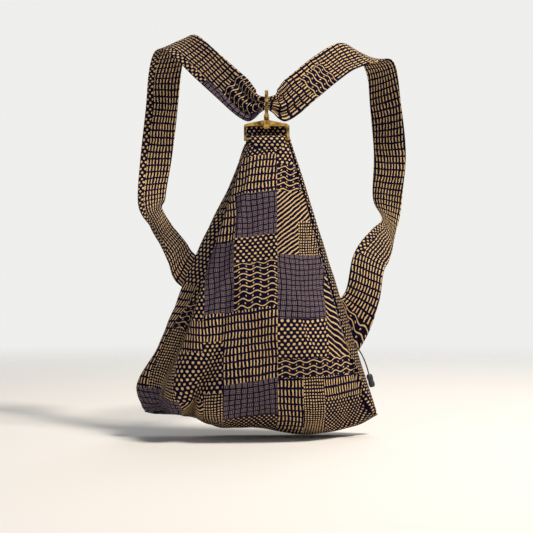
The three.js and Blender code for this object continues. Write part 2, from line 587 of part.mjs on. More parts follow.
// Slider: a channel over the teeth with a bail on top for the pull
const BAIL_HOLE = 2.6;
const sliderTop = teethTop + SEAM_GAP + SLIDER_TOP;
function zipSlider() {
  const half = ZIP_TEETH_WIDTH / 2 + SEAM_GAP;
  const channel = new THREE.Shape();
  channel.moveTo(-half - SLIDER_WALL, tapeTop + SEAM_GAP);
  channel.lineTo(-half - SLIDER_WALL, sliderTop - 0.6);
  channel.lineTo(-half, sliderTop);
  channel.lineTo(half, sliderTop);
  channel.lineTo(half + SLIDER_WALL, sliderTop - 0.6);
  channel.lineTo(half + SLIDER_WALL, tapeTop + SEAM_GAP);
  channel.lineTo(half, tapeTop + SEAM_GAP);
  channel.lineTo(half, sliderTop - SLIDER_TOP);
  channel.lineTo(-half, sliderTop - SLIDER_TOP);
  channel.lineTo(-half, tapeTop + SEAM_GAP);
  const body = new THREE.ExtrudeGeometry(channel, { depth: SLIDER_LENGTH, bevelEnabled: false });
  body.rotateX(Math.PI / 2).rotateZ(Math.PI / 2).translate(-SLIDER_LENGTH / 2, 0, 0);
  const bail = new THREE.Shape();
  bail.moveTo(-3, sliderTop - 0.3);
  bail.lineTo(3, sliderTop - 0.3);
  bail.quadraticCurveTo(3, sliderTop + BAIL_HOLE + 1, 0, sliderTop + BAIL_HOLE + 1);
  bail.quadraticCurveTo(-3, sliderTop + BAIL_HOLE + 1, -3, sliderTop - 0.3);
  const hole = new THREE.Path();
  hole.absellipse(0, sliderTop + BAIL_HOLE / 2, 1.7, BAIL_HOLE / 2, 0, 2 * Math.PI, true);
  bail.holes.push(hole);
  const loop = new THREE.ExtrudeGeometry(bail, { depth: 2, bevelEnabled: false, curveSegments: 6 });
  loop.rotateX(Math.PI / 2).translate(0, 1, 0);
  return geometryOf(solid(body).add(solid(loop))).translate(SLIDER_REST, zipMiddle, 0);
}
add("zip_slider", zipSlider(), brass, zipGroup);

// Pull: a short stiff cord that bows out of the bail, and a moulded grip on its end
const bailTop = sliderTop + BAIL_HOLE + 1;
const CORD_ROUTE = [[0, 0.6], [-2, 3.6], [-6.5, 7], [-13, 9.2], [-21, 10.8], [-30, 11.6], [-40, 11.6]];
const cordPoints = CORD_ROUTE.map(([x, z]) => vec(SLIDER_REST + x, zipMiddle, bailTop + z));
function pullCord() {
  const sides = 8;
  const section = new THREE.Shape();
  section.absarc(0, 0, CORD_DIAMETER / 2, 0, 2 * Math.PI);
  const route = new THREE.CatmullRomCurve3(cordPoints);
  const steps = Math.ceil(route.getLength() / (2 * CORD_DIAMETER));
  return new THREE.ExtrudeGeometry(section, { steps, extrudePath: route, curveSegments: sides });
}
add("pull_cord", pullCord(), darkCord, zipGroup);
function pullGrip() {
  const end = cordPoints.at(-1);
  const profile = [[0, 0], [0.6, 0], [0.92, 0.1], [1, 0.28], [0.86, 0.5], [0.98, 0.74], [0.8, 0.95], [0.45, 1], [0, 1]];
  const points = profile.map(([r, along]) => new THREE.Vector2((r * GRIP_WIDTH) / 2, along * GRIP_LENGTH));
  const grip = new THREE.LatheGeometry(points, 16).scale(1, 1, GRIP_THICK / GRIP_WIDTH);
  return grip.rotateZ(Math.PI / 2).translate(end.x - SEAM_GAP, end.y, end.z);
}
add("pull_grip", pullGrip(), darkCord, zipGroup);

// Strap route, as worn: from the gather in the hook, over a shoulder, down the chest, under the arm and
// back to the edge of the bag. Each stop gives the middle of the band from the gather, in shares of the
// strap's reach, bulge and drop, then the way its width runs, and its size where it is gathered.
const gather = vec(0, CLIP_Y + 4.5, BAR_HEIGHT + HOOK_BEND - 2.8);
const strapDrop = gather.z - STRAP_FOOT;
const RIGHT_ROUTE = [
  { at: [0.054, 0.002, -0.004], wide: [0.12, 0, 1], width: 0.5, thick: 1.5 },
  { at: [0.107, 0.02, -0.007], wide: [-0.2, 0, 1], width: 0.95 },
  { at: [0.244, 0.078, 0.067], wide: [-0.69, 0.05, 0.72] },
  { at: [0.435, 0.205, 0.174], wide: [-0.68, 0.1, 0.7] },
  { at: [0.613, 0.371, 0.256], wide: [-0.62, 0.25, 0.72] },
  { at: [0.768, 0.527, 0.274], wide: [-0.75, 0.55, 0.4] },
  { at: [0.893, 0.712, 0.234], wide: [-0.8, 0.5, -0.15] },
  { at: [0.952, 0.907, 0.074], wide: [-0.85, 0.35, -0.2] },
  { at: [1, 1.01, -0.167], wide: [-0.95, 0.2, 0] },
  { at: [0.97, 0.927, -0.4], wide: [-0.85, 0.5, 0.15] },
  { at: [0.955, 0.683, -0.55], wide: [-0.3, 0.7, 0.6] },
  { at: [0.872, 0.41, -0.627], wide: [-0.55, 0.35, 0.75] },
  { at: [0.757, 0.185, -0.727], wide: [-0.85, -0.15, 0.4] },
  { at: [0.705, 0.092, -0.875], wide: [-0.9, 0, 0.4] },
];
const LEFT_ROUTE = [
  { at: [-0.054, 0.002, -0.004], wide: [-0.12, 0, 1], width: 0.5, thick: 1.5 },
  { at: [-0.107, 0.02, -0.007], wide: [0.2, 0, 1], width: 0.95 },
  { at: [-0.25, 0.083, 0.074], wide: [0.69, 0.05, 0.72] },
  { at: [-0.446, 0.205, 0.193], wide: [0.74, 0.1, 0.66] },
  { at: [-0.625, 0.361, 0.304], wide: [0.82, 0.15, 0.55] },
  { at: [-0.726, 0.546, 0.326], wide: [0.9, 0.1, 0.3] },
  { at: [-0.798, 0.771, 0.237], wide: [0.95, 0.15, 0.1] },
  { at: [-0.845, 0.946, 0.044], wide: [0.97, 0.2, 0] },
  { at: [-0.893, 0.995, -0.193], wide: [0.95, 0.3, 0] },
  { at: [-0.917, 0.878, -0.408], wide: [0.8, 0.55, 0.2] },
  { at: [-0.862, 0.644, -0.5], wide: [0.3, 0.75, 0.55] },
  { at: [-0.765, 0.4, -0.585], wide: [0.3, 0.72, 0.55] },
  { at: [-0.665, 0.2, -0.672], wide: [0.42, 0.6, 0.6] },
  { at: [-0.61, 0.085, -0.735], wide: [0.45, 0.35, 0.75] },
];
const STRAP_STEPS = 110;

// The end of the band, cut on the slant along the edge of the back panel it is sewn to.
function strapEnd(low, high, sign) {
  const along = high.clone().sub(low);
  const off = vec(sign * Math.abs(along.z), 0, Math.abs(along.x)).normalize();
  const middle = low.clone().add(high).multiplyScalar(0.5).addScaledVector(off, STRAP_SETBACK);
  return { middle: middle.setY(-CLOTH / 2), wide: along.clone().normalize(), width: along.length() };
}
const edgeOnRight = (height) => {
  const along = (height - ZIP_FOOT.z) / zipUp.z;
  return backEdge(along);
};
const edgeOnLeft = (height) => {
  const above = plainGrid.findIndex((row) => row.at(-1).z > height);
  const [p, q] = [plainGrid[above - 1].at(-1), plainGrid[above].at(-1)];
  return p.clone().lerp(q, (height - p.z) / (q.z - p.z));
};

function strapStops() {
  const stops = [];
  const fromRoute = ({ at, wide, width = 1, thick = 1 }) => ({
    middle: vec(at[0] * STRAP_REACH, at[1] * STRAP_BULGE, at[2] * strapDrop).add(gather),
    wide: vec(...wide).normalize(),
    width: width * STRAP_WIDTH,
    thick: thick * STRAP_THICK,
  });
  const endStop = (end) => ({ ...end, thick: CLOTH });
  stops.push(endStop(strapEnd(edgeOnLeft(LEFT_END_LOW), edgeOnLeft(LEFT_END_HIGH), -1)));
  stops.push(...LEFT_ROUTE.map(fromRoute).reverse());
  stops.push({ middle: gather, wide: vec(0, 0, 1), width: GATHER_HEIGHT, thick: GATHER_THICK });
  stops.push(...RIGHT_ROUTE.map((stop) => fromRoute({ ...stop, wide: stop.wide })));
  stops.push(endStop(strapEnd(edgeOnRight(RIGHT_END_LOW), edgeOnRight(RIGHT_END_HIGH), 1)));
  return stops;
}

function strap() {
  const stops = strapStops();
  const route = new THREE.CatmullRomCurve3(stops.map((s) => s.middle), false, "centripetal");
  const widths = new THREE.CatmullRomCurve3(stops.map((s) => s.wide), false, "centripetal");
  const sizes = new THREE.CatmullRomCurve3(stops.map((s) => vec(s.width, s.thick, 0)), false, "centripetal");
  const rings = [];
  for (let k = 0; k <= STRAP_STEPS; k++) {
    const share = k / STRAP_STEPS;
    const middle = route.getPoint(share);
    const wide = widths.getPoint(share).normalize();
    const size = sizes.getPoint(share);
    const out = route.getTangent(share).cross(wide).normalize();
    const place = (w, t) =>
      middle.clone().addScaledVector(wide, (w * size.x) / 2).addScaledVector(out, (t * size.y) / 2);
    rings.push([place(-1, -0.6), place(-0.94, -1), place(0.94, -1), place(1, -0.6),
      place(1, 0.6), place(0.94, 1), place(-0.94, 1), place(-1, 0.6)]);
  }
  return loft(rings);
}
add("shoulder_strap", strap(), cotton);

export default backpack;
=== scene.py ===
# %% [markdown]
# # A printed cotton backpack
# The bag is a soft triangle that narrows to a tab. A brass swivel clip on the tab gathers one long strap
# above the bag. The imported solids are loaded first, because each cloth piece takes the place of one of them.

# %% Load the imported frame
import math
import bmesh
import bpy
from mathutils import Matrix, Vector, noise


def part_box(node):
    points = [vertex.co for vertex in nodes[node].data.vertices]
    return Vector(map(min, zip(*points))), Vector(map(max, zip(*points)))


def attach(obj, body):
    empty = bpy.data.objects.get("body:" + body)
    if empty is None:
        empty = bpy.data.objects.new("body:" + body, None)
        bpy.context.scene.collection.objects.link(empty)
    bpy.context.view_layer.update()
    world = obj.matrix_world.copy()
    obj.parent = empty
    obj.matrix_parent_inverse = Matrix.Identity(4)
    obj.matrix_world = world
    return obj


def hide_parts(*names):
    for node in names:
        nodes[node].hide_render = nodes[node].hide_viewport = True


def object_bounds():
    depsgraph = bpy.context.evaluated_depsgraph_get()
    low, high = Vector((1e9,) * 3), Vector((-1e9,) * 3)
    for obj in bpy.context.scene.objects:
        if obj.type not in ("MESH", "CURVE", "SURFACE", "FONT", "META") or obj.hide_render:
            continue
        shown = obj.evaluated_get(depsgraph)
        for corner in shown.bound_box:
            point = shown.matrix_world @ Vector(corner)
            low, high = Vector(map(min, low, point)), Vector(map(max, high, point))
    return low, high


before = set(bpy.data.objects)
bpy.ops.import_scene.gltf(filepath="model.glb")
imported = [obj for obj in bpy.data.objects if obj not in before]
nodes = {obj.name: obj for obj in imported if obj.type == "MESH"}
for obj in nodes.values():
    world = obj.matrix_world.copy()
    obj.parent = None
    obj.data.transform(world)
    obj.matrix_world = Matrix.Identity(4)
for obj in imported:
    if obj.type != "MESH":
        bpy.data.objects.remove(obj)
cad_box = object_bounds()
print("solids:", len(nodes), "box:", [[round(v, 4) for v in corner] for corner in cad_box])

# %% [markdown]
# ## Camera
# The photograph is taken level, facing the front panel, with the bag nearly filling the frame. A camera far
# enough away for a mild perspective gives the same look, so its angle is set from a distance in metres.

# %% Camera
CAMERA_AWAY = 1.79
CAMERA_HEIGHT = 0.052
PIXELS = 533
PIXELS_PER_RADIAN = 1458
camera = bpy.data.objects.new("camera", bpy.data.cameras.new("camera"))
camera.data.angle = 2 * math.atan(PIXELS / 2 / PIXELS_PER_RADIAN)
camera.location = (0, -CAMERA_AWAY, CAMERA_HEIGHT)
camera.rotation_euler = (math.pi / 2, 0, 0)
bpy.context.scene.collection.objects.link(camera)
bpy.context.scene.camera = camera
bpy.context.scene.view_settings.view_transform = "Standard"
print("camera angle in degrees:", round(math.degrees(camera.data.angle), 2))

# %% [markdown]
# ## Helpers
# One function turns a colour written as sRGB hex into the linear values that shaders use. One small
# function adds a shader node: a text setting is the node's operation, and each input is a value or another
# node.

# %% Helpers
MM = 0.001


def linear(hex_colour):
    channels = [int(hex_colour[k:k + 2], 16) / 255 for k in (1, 3, 5)]
    return [c / 12.92 if c <= 0.04045 else ((c + 0.055) / 1.055) ** 2.4 for c in channels] + [1.0]


def add(tree, kind, settings, *inputs, **named):
    made = tree.nodes.new("ShaderNode" + kind)
    settings = {"operation": settings} if isinstance(settings, str) else settings
    for key, value in settings.items():
        setattr(made, key, value)
    for key, value in [*enumerate(inputs), *named.items()]:
        socket = made.inputs[key if isinstance(key, int) else key.replace("_", " ")]
        if isinstance(value, bpy.types.Node):
            value = value.outputs[0]
        if isinstance(value, bpy.types.NodeSocket):
            tree.links.new(value, socket)
        else:
            socket.default_value = value
    return made


def new_material(name):
    material = bpy.data.materials.new(name)
    material.use_nodes = True
    return material, material.node_tree, material.node_tree.nodes["Principled BSDF"]


def piece(name, mesh_maker, body, *replaced):
    mesh = bpy.data.meshes.new(name)
    mesh_maker.to_mesh(mesh)
    mesh_maker.free()
    made = bpy.data.objects.new(name, mesh)
    bpy.context.scene.collection.objects.link(made)
    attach(made, body)
    if replaced:
        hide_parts(*replaced)
    return made


def lay_print(mesh, layer, places):
    """Keeps each point's place on the flat cloth, given in millimetres, as the cloth's own map in metres."""
    for face in mesh.faces:
        for loop in face.loops:
            loop[layer].uv = Vector(places[loop.vert]) * MM


# %% [markdown]
# ## Studio
# A pale round floor under the bag, and soft lamps: a key above on the right, a weak cool fill, and one
# behind. The floor fades into the pale world towards its rim, so no horizon shows and the lamps stay at a
# plain level.

# %% Studio
FLOOR_RADIUS, FLOOR_BELOW = 3.2, 0.004  # metres
FADE_START, FADE_END = 0.6, 2.2  # metres from the bag
AMBIENT, BACKDROP = 0.12, 0.95  # strength of the world as a light, and as it is seen
floor_mesh = bmesh.new()
bmesh.ops.create_circle(floor_mesh, cap_ends=True, radius=FLOOR_RADIUS, segments=96)
bmesh.ops.translate(floor_mesh, verts=floor_mesh.verts, vec=(0, 0, cad_box[0][2] - FLOOR_BELOW))
floor_data = bpy.data.meshes.new("floor")
floor_mesh.to_mesh(floor_data)
floor_mesh.free()
floor = bpy.data.objects.new("floor", floor_data)
bpy.context.scene.collection.objects.link(floor)
# Matt paper: pale, with no highlight, and clear towards the rim.
paper, paper_tree, paper_shader = new_material("floor_paper")
paper_shader.inputs["Base Color"].default_value = linear("#f3f1ee")
paper_shader.inputs["Roughness"].default_value = 0.9
paper_place = add(paper_tree, "TexCoord", {})
paper_away = add(paper_tree, "VectorMath", "LENGTH", paper_place.outputs["Object"])
fade = add(paper_tree, "MapRange", {"interpolation_type": "SMOOTHSTEP"},
           paper_away.outputs["Value"], FADE_START, FADE_END, 1.0, 0.0)
paper_tree.links.new(fade.outputs[0], paper_shader.inputs["Alpha"])
floor_data.materials.append(paper)

world = bpy.data.worlds.new("studio")
world.use_nodes = True
bpy.context.scene.world = world
sky = world.node_tree.nodes["Background"]
rays = add(world.node_tree, "LightPath", {})
seen = add(world.node_tree, "Math", "MAXIMUM", rays.outputs["Is Camera Ray"], rays.outputs["Is Glossy Ray"])
seen = add(world.node_tree, "Math", "MAXIMUM", seen, rays.outputs["Is Transmission Ray"])
sky.inputs["Color"].default_value = linear("#f4f4f2")
lift = add(world.node_tree, "MapRange", {}, seen, 0.0, 1.0, AMBIENT, BACKDROP)
world.node_tree.links.new(lift.outputs[0], sky.inputs["Strength"])


def soft_lamp(name, place, aim, size, watts, colour):
    lamp = bpy.data.objects.new(name, bpy.data.lights.new(name, "AREA"))
    lamp.data.energy = watts
    lamp.data.color = linear(colour)[:3]
    lamp.data.size = size
    lamp.location = place
    lamp.rotation_euler = (Vector(aim) - Vector(place)).to_track_quat("-Z", "Y").to_euler()
    bpy.context.scene.collection.objects.link(lamp)


soft_lamp("key", (1.0, -0.62, 2.0), (0, 0, 0.05), 0.55, 58, "#fff6ea")
soft_lamp("fill", (-1.5, -1.3, 0.9), (0, 0, 0.1), 1.4, 4, "#dfe8ff")
soft_lamp("back", (0.4, 1.5, 1.4), (0, 0, 0.1), 1.2, 12, "#ffffff")
print("lamps: key, fill, back")

# %% [markdown]
# ## The print
# The cotton carries a traditional sort of patchwork: fields of bars, dots, waves, stripes and basket
# squares, printed in cream on navy. Each motif is a few sums on a place measured in millimetres on the
# cloth, so its size is real. A wobble of about half a millimetre gives the hand-cut edge of a block print,
# and a slow drift bends its rows a little.

# %% Motifs
BARS, SQUARES, WAVES, RISING, FALLING, BIG_DOTS, SMALL_DOTS, BASKET = range(8)
MOTIF_COUNT = 8


def stripes_on(tree, along, pitch, half_width):
    apart = add(tree, "Math", "PINGPONG", along, pitch / 2)
    return add(tree, "Math", "LESS_THAN", apart, half_width)


def spots_on(tree, x, y, pitch_x, pitch_y, radius):
    off = add(tree, "CombineXYZ", {}, add(tree, "Math", "PINGPONG", x, pitch_x / 2),
              add(tree, "Math", "PINGPONG", y, pitch_y / 2))
    apart = add(tree, "VectorMath", "LENGTH", off)
    return add(tree, "Math", "LESS_THAN", apart.outputs["Value"], radius)


motifs = bpy.data.node_groups.new("patchwork_motifs", "ShaderNodeTree")
motifs.interface.new_socket("Place", in_out="INPUT", socket_type="NodeSocketVector")
motifs.interface.new_socket("Motif", in_out="INPUT", socket_type="NodeSocketFloat")
motifs.interface.new_socket("Ink", in_out="OUTPUT", socket_type="NodeSocketFloat")
motifs.interface.new_socket("Muted", in_out="OUTPUT", socket_type="NodeSocketFloat")
given = motifs.nodes.new("NodeGroupInput")
handed = motifs.nodes.new("NodeGroupOutput")
wobble = add(motifs, "TexNoise", {}, Vector=given.outputs["Place"], Scale=0.14, Detail=2.0)
shift = add(motifs, "VectorMath", "MULTIPLY_ADD", wobble.outputs["Color"], (2.2, 2.2, 0), (-1.1, -1.1, 0))
lean = add(motifs, "TexNoise", {}, Vector=given.outputs["Place"], Scale=0.012, Detail=1.0)
drift = add(motifs, "VectorMath", "MULTIPLY_ADD", lean.outputs["Color"], (14, 14, 0), shift)
place = add(motifs, "SeparateXYZ", {}, add(motifs, "VectorMath", "ADD", given.outputs["Place"], drift))
x, y = place.outputs["X"], place.outputs["Y"]
# A stripe has a pitch and a half width, and a spot two pitches and a radius, all in millimetres.
ink = {}
ink[BARS] = add(motifs, "Math", "MULTIPLY", stripes_on(motifs, x, 4.1, 0.7), stripes_on(motifs, y, 9.6, 3.5))
ink[SQUARES] = add(motifs, "Math", "MULTIPLY", stripes_on(motifs, x, 3.4, 0.85),
                   stripes_on(motifs, y, 3.5, 0.85))
swing = add(motifs, "Math", "SINE", add(motifs, "Math", "MULTIPLY", x, 2 * math.pi / 17))
crest = add(motifs, "Math", "MULTIPLY_ADD", swing, 1.5, y)
between = add(motifs, "Math", "ADD", crest, 3.6)
ink[WAVES] = add(motifs, "Math", "MAXIMUM", stripes_on(motifs, crest, 7.2, 0.62),
                 spots_on(motifs, x, between, 8.5, 7.2, 0.85))
ink[RISING] = stripes_on(motifs, add(motifs, "Math", "MULTIPLY_ADD", x, -0.8, y), 6.0, 0.92)
ink[FALLING] = stripes_on(motifs, add(motifs, "Math", "MULTIPLY_ADD", x, 0.85, y), 7.4, 0.98)
next_x, next_y = add(motifs, "Math", "ADD", x, 3.3), add(motifs, "Math", "ADD", y, 4.8)
ink[BIG_DOTS] = add(motifs, "Math", "MAXIMUM", spots_on(motifs, x, y, 6.6, 9.6, 1.65),
                    spots_on(motifs, next_x, next_y, 6.6, 9.6, 1.45))
ink[SMALL_DOTS] = add(motifs, "Math", "MAXIMUM", spots_on(motifs, x, y, 5.6, 7.4, 1.1), spots_on(
    motifs, add(motifs, "Math", "ADD", x, 2.8), add(motifs, "Math", "ADD", y, 3.7), 5.6, 7.4, 1.1))
CELL = 6.6  # one square of the basket, millimetres
side_cell = add(motifs, "Math", "LESS_THAN", add(motifs, "Math", "PINGPONG", x, CELL), CELL / 2)
tall_cell = add(motifs, "Math", "LESS_THAN", add(motifs, "Math", "PINGPONG", y, CELL), CELL / 2)
crossed = add(motifs, "Math", "COMPARE", side_cell, tall_cell, 0.1)
lying, standing = stripes_on(motifs, y, CELL / 3, 0.7), stripes_on(motifs, x, CELL / 3, 0.7)
turned_by = add(motifs, "Math", "SUBTRACT", lying, standing)
hatch = add(motifs, "Math", "MULTIPLY_ADD", crossed, turned_by, standing)
rim_x = stripes_on(motifs, add(motifs, "Math", "ADD", x, CELL / 2), CELL, 0.78)
rim_y = stripes_on(motifs, add(motifs, "Math", "ADD", y, CELL / 2), CELL, 0.78)
rim = add(motifs, "Math", "MAXIMUM", rim_x, rim_y)
inside = add(motifs, "Math", "SUBTRACT", 1.0, rim)
woven = add(motifs, "Math", "MULTIPLY", inside, add(motifs, "Math", "MULTIPLY_ADD", hatch, 0.9, 0.1))
total = 0.0
for number in range(BASKET):
    chosen = add(motifs, "Math", "COMPARE", given.outputs["Motif"], float(number), 0.4)
    total = add(motifs, "Math", "MULTIPLY_ADD", chosen, ink[number], total)
chosen = add(motifs, "Math", "COMPARE", given.outputs["Motif"], float(BASKET), 0.4)
motifs.links.new(total.outputs[0], handed.inputs["Ink"])
muted = add(motifs, "Math", "MULTIPLY", chosen, woven)
motifs.links.new(muted.outputs[0], handed.inputs["Muted"])
print("motif nodes:", len(motifs.nodes))

# %% [markdown]
# ## Printed cotton
# Plain-woven cotton with a block print: to the eye it is matt, with no highlight, a fine thread relief and
# an uneven dye. The print could be painted as an image, but sums keep it sharp at any size. The patches are
# laid out in columns across the cloth and rows up it. A colour ramp with constant steps turns the height on
# the cloth into the number of a motif, one ramp to a column, and the place across picks the column.

# %% Cloth materials
NAVY, CREAM, LILAC = "#0d0a28", "#e9c58b", "#7e6d70"
WEAVE = 0.9  # thread spacing in millimetres, drawn coarser than the real 0.4 so that it shows


def row_motifs(tree, along, rows, low, high):
    share = add(tree, "MapRange", {}, along, low, high, 0.0, 1.0)
    ramp = add(tree, "ValToRGB", {}, share)
    ramp.color_ramp.interpolation = "CONSTANT"
    stops = ramp.color_ramp.elements
    start = low
    for number, (end, motif) in enumerate(rows):
        where = min(max((start - low) / (high - low), 0.0), 1.0)
        stop = stops[number] if number < 2 else stops.new(where)
        stop.position = where
        stop.color = (motif / MOTIF_COUNT, motif / MOTIF_COUNT, motif / MOTIF_COUNT, 1)
        start = end
    if len(rows) == 1:
        stops.remove(stops[1])
    return add(tree, "Math", "MULTIPLY", ramp.outputs["Color"], float(MOTIF_COUNT))


def printed_cotton(name, columns, low, high):
    material, tree, shader = new_material(name)
    cloth = add(tree, "UVMap", {"uv_map": "cloth"})
    spot = add(tree, "VectorMath", "MULTIPLY", cloth, (1 / MM, 1 / MM, 0.0))
    across, along = add(tree, "SeparateXYZ", {}, spot).outputs[:2]
    motif = row_motifs(tree, along, columns[0][1], low, high)
    for (start, _), (_, rows) in zip(columns, columns[1:]):
        beyond = add(tree, "Math", "GREATER_THAN", across, float(start))
        change = add(tree, "Math", "SUBTRACT", row_motifs(tree, along, rows, low, high), motif)
        motif = add(tree, "Math", "MULTIPLY_ADD", beyond, change, motif)
    drawn = tree.nodes.new("ShaderNodeGroup")
    drawn.node_tree = motifs
    tree.links.new(spot.outputs[0], drawn.inputs["Place"])
    tree.links.new(motif.outputs[0], drawn.inputs["Motif"])
    ground = add(tree, "MixRGB", {}, drawn.outputs["Muted"], linear(NAVY), linear(LILAC))
    inked = add(tree, "MixRGB", {}, drawn.outputs["Ink"], ground, linear(CREAM))
    dye = add(tree, "TexNoise", {}, Vector=spot, Scale=0.02, Detail=4.0)
    uneven = add(tree, "MapRange", {}, dye.outputs[0], 0.3, 0.7, 0.78, 1.0)
    faded = add(tree, "MixRGB", {"blend_type": "MULTIPLY"}, 1.0, inked, uneven)
    tree.links.new(faded.outputs[0], shader.inputs["Base Color"])
    warp = add(tree, "Math", "SINE", add(tree, "Math", "MULTIPLY", across, 2 * math.pi / WEAVE))
    weft = add(tree, "Math", "SINE", add(tree, "Math", "MULTIPLY", along, 2 * math.pi / WEAVE))
    threads = add(tree, "Math", "MULTIPLY", warp, weft)
    relief = add(tree, "Bump", {}, 0.25, 0.0003, Height=threads)
    tree.links.new(relief.outputs[0], shader.inputs["Normal"])
    shader.inputs["Roughness"].default_value = 0.88
    shader.inputs["Specular IOR Level"].default_value = 0.06
    print(name, "nodes:", len(tree.nodes))
    return material


bag_print = printed_cotton("printed_cotton_bag", [  # each column's far edge, then its rows' upper edges
    (-280, [(34, BASKET), (168, BARS), (262, BIG_DOTS), (400, BARS)]),
    (-200, [(34, BASKET), (112, SQUARES), (146, WAVES), (300, BIG_DOTS), (400, BARS)]),
    (-165, [(60, BASKET), (140, SQUARES), (240, BARS), (400, SMALL_DOTS)]),
    (-118, [(52, BASKET), (140, SQUARES), (176, WAVES), (250, BIG_DOTS), (400, BARS)]),
    (-76, [(50, RISING), (112, BIG_DOTS), (150, BARS), (238, BIG_DOTS), (400, BARS)]),
    (-51, [(12, SMALL_DOTS), (60, SQUARES), (122, BIG_DOTS), (156, BARS), (242, BASKET), (400, BARS)]),
    (-38, [(20, SMALL_DOTS), (68, BASKET), (154, BARS), (242, BASKET), (400, BARS)]),
    (13, [(20, SMALL_DOTS), (68, BASKET), (154, BARS), (211, WAVES), (245, BIG_DOTS), (302, BASKET),
          (352, BARS), (400, SMALL_DOTS)]),
    (43, [(66, BARS), (90, WAVES), (138, BIG_DOTS), (218, BASKET), (302, RISING), (338, WAVES),
          (400, BIG_DOTS)]),
    (70, [(66, SQUARES), (90, WAVES), (138, BIG_DOTS), (218, BASKET), (262, SQUARES), (302, RISING),
          (400, SQUARES)]),
    (82, [(40, SMALL_DOTS), (66, BARS), (90, WAVES), (138, BIG_DOTS), (218, BASKET), (400, SQUARES)]),
    (300, [(40, SMALL_DOTS), (66, BARS), (90, WAVES), (400, FALLING)]),
], 0, 400)

# %% [markdown]
# ## Front panel
# The front and the folded left gusset are one cut of cloth. It could be carved or simulated from a flat
# cut, but a grid laid on a net of a few stations keeps the outline that the photograph shows. Every row is
# a smooth curve round the bag, from the zip past the front left edge and the gusset's fold to the left
# seam.

# %% Stations of the bag
BAG_HEIGHT, LEFT_REACH, RIGHT_REACH, BAG_DEPTH = 353, 158, 137, 112  # millimetres, as in the solids
BASE_LINE = -150  # the bag's base line in the frame, millimetres
SEAM_Y, BELLY, LEFT_CORNER = -2.7, 58, 40
ZIP_FOOT, ZIP_HEAD = Vector((100.5, -42, 92)), Vector((26.5, -16, BAG_HEIGHT))
RIGHT_CORNER = Vector((RIGHT_REACH, SEAM_Y, 20))
LEFT_SHARES = [(0.12, 1), (0.16, 0.985), (0.27, 0.868), (0.45, 0.7), (0.64, 0.522), (0.82, 0.341),
               (0.95, 0.21), (1, 0.166)]
DEPTH_SHARES = [(0.12, 0.9), (0.27, 1), (0.45, 0.87), (0.64, 0.68), (0.82, 0.455), (0.95, 0.285), (1, 0.225)]
SEAM_HEIGHTS = [(0, 20), (0.11, 5), (0.25, 0), (0.45, 4), (0.63, 7), (0.74, 18), (0.83, 20), (0.92, 21),
                (1, LEFT_CORNER)]
SECTION = [(0, 0), (0.075, 0.45), (0.26, 0.9), (0.5, 1), (0.72, 0.97), (0.845, 0.84), (0.915, 0.5),
           (1, 0.27), (0.97, 0)]
SEAM_SHARES = [0, 0.1, 0.27, 0.48, 0.67, 0.79, 0.875, 0.935, 0.972]
FULLEST, UNDER_ROWS, WALL_ROWS = 3, 3, 6


def through(points, share):
    """A point on the smooth curve through a row of points, evenly timed from the first to the last."""
    last = len(points) - 1
    k = min(int(share * last), last - 1)
    t = share * last - k
    p1, p2 = points[k], points[k + 1]
    p0 = points[k - 1] if k else 2 * p1 - p2
    p3 = points[k + 2] if k + 2 <= last else 2 * p2 - p1
    d0, d1, d2 = (max((b - a).length, 1e-6) ** 0.5 for a, b in ((p0, p1), (p1, p2), (p2, p3)))
    m1 = ((p1 - p0) / d0 - (p2 - p0) / (d0 + d1) + (p2 - p1) / d1) * d1
    m2 = ((p2 - p1) / d1 - (p3 - p1) / (d1 + d2) + (p3 - p2) / d2) * d1
    return p1 + t * m1 + t * t * (3 * (p2 - p1) - 2 * m1 - m2) + t ** 3 * (2 * (p1 - p2) + m1 + m2)


def curve_through(points, steps):
    """Points along that curve, one for each step."""
    return [through(points, k / steps) for k in range(steps + 1)]


def value_at(pairs, where):
    """The height of the smooth curve through [place, value] pairs."""
    curve = curve_through([Vector((a, b, 0)) for a, b in pairs], 200)
    for p, q in zip(curve, curve[1:]):
        if q.x >= where:
            return p.y + (q.y - p.y) * (where - p.x) / max(q.x - p.x, 1e-9)
    return curve[-1].y


def right_edge(height):
    end = ZIP_HEAD if height > ZIP_FOOT.z else RIGHT_CORNER
    return ZIP_FOOT.lerp(end, (height - ZIP_FOOT.z) / (end.z - ZIP_FOOT.z))


def wall_point(column, height):
    right = right_edge(height)
    left = -LEFT_REACH * value_at(LEFT_SHARES, height / BAG_HEIGHT)
    full = -BAG_DEPTH * value_at(DEPTH_SHARES, height / BAG_HEIGHT)
    across, depth = SECTION[column]
    start = right.y if column <= FULLEST else SEAM_Y
    return Vector((right.x + (left - right.x) * across, start + (full - start) * depth, height))


def net_point(column, row):
    if row >= UNDER_ROWS:
        return wall_point(column, BELLY + (BAG_HEIGHT - BELLY) * (row - UNDER_ROWS) / WALL_ROWS)
    share = SEAM_SHARES[column]
    seam = Vector((RIGHT_REACH - (RIGHT_REACH + LEFT_REACH) * share, SEAM_Y, value_at(SEAM_HEIGHTS, share)))
    wall = wall_point(column, BELLY)
    angle = row / UNDER_ROWS * math.pi / 2
    ahead = math.sin(angle)
    return Vector((seam.x + (wall.x - seam.x) * ahead, seam.y + (wall.y - seam.y) * ahead,
                   wall.z + (seam.z - wall.z) * math.cos(angle)))


ROWS = range(UNDER_ROWS + WALL_ROWS + 1)
net = [[net_point(column, row) for row in ROWS] for column in range(len(SECTION))]
print("net of the bag:", len(net), "by", len(net[0]))

# %% [markdown]
# ## Creases
# The cloth isn't smooth. Its load pulls a few long creases down to the lower left, and the filled bottom
# has soft hollows. They could be sculpted by hand, but a list of lines can be read and changed: each crease
# is a round ridge or a sharp groove along a line on the panel, in shares of its two ways.

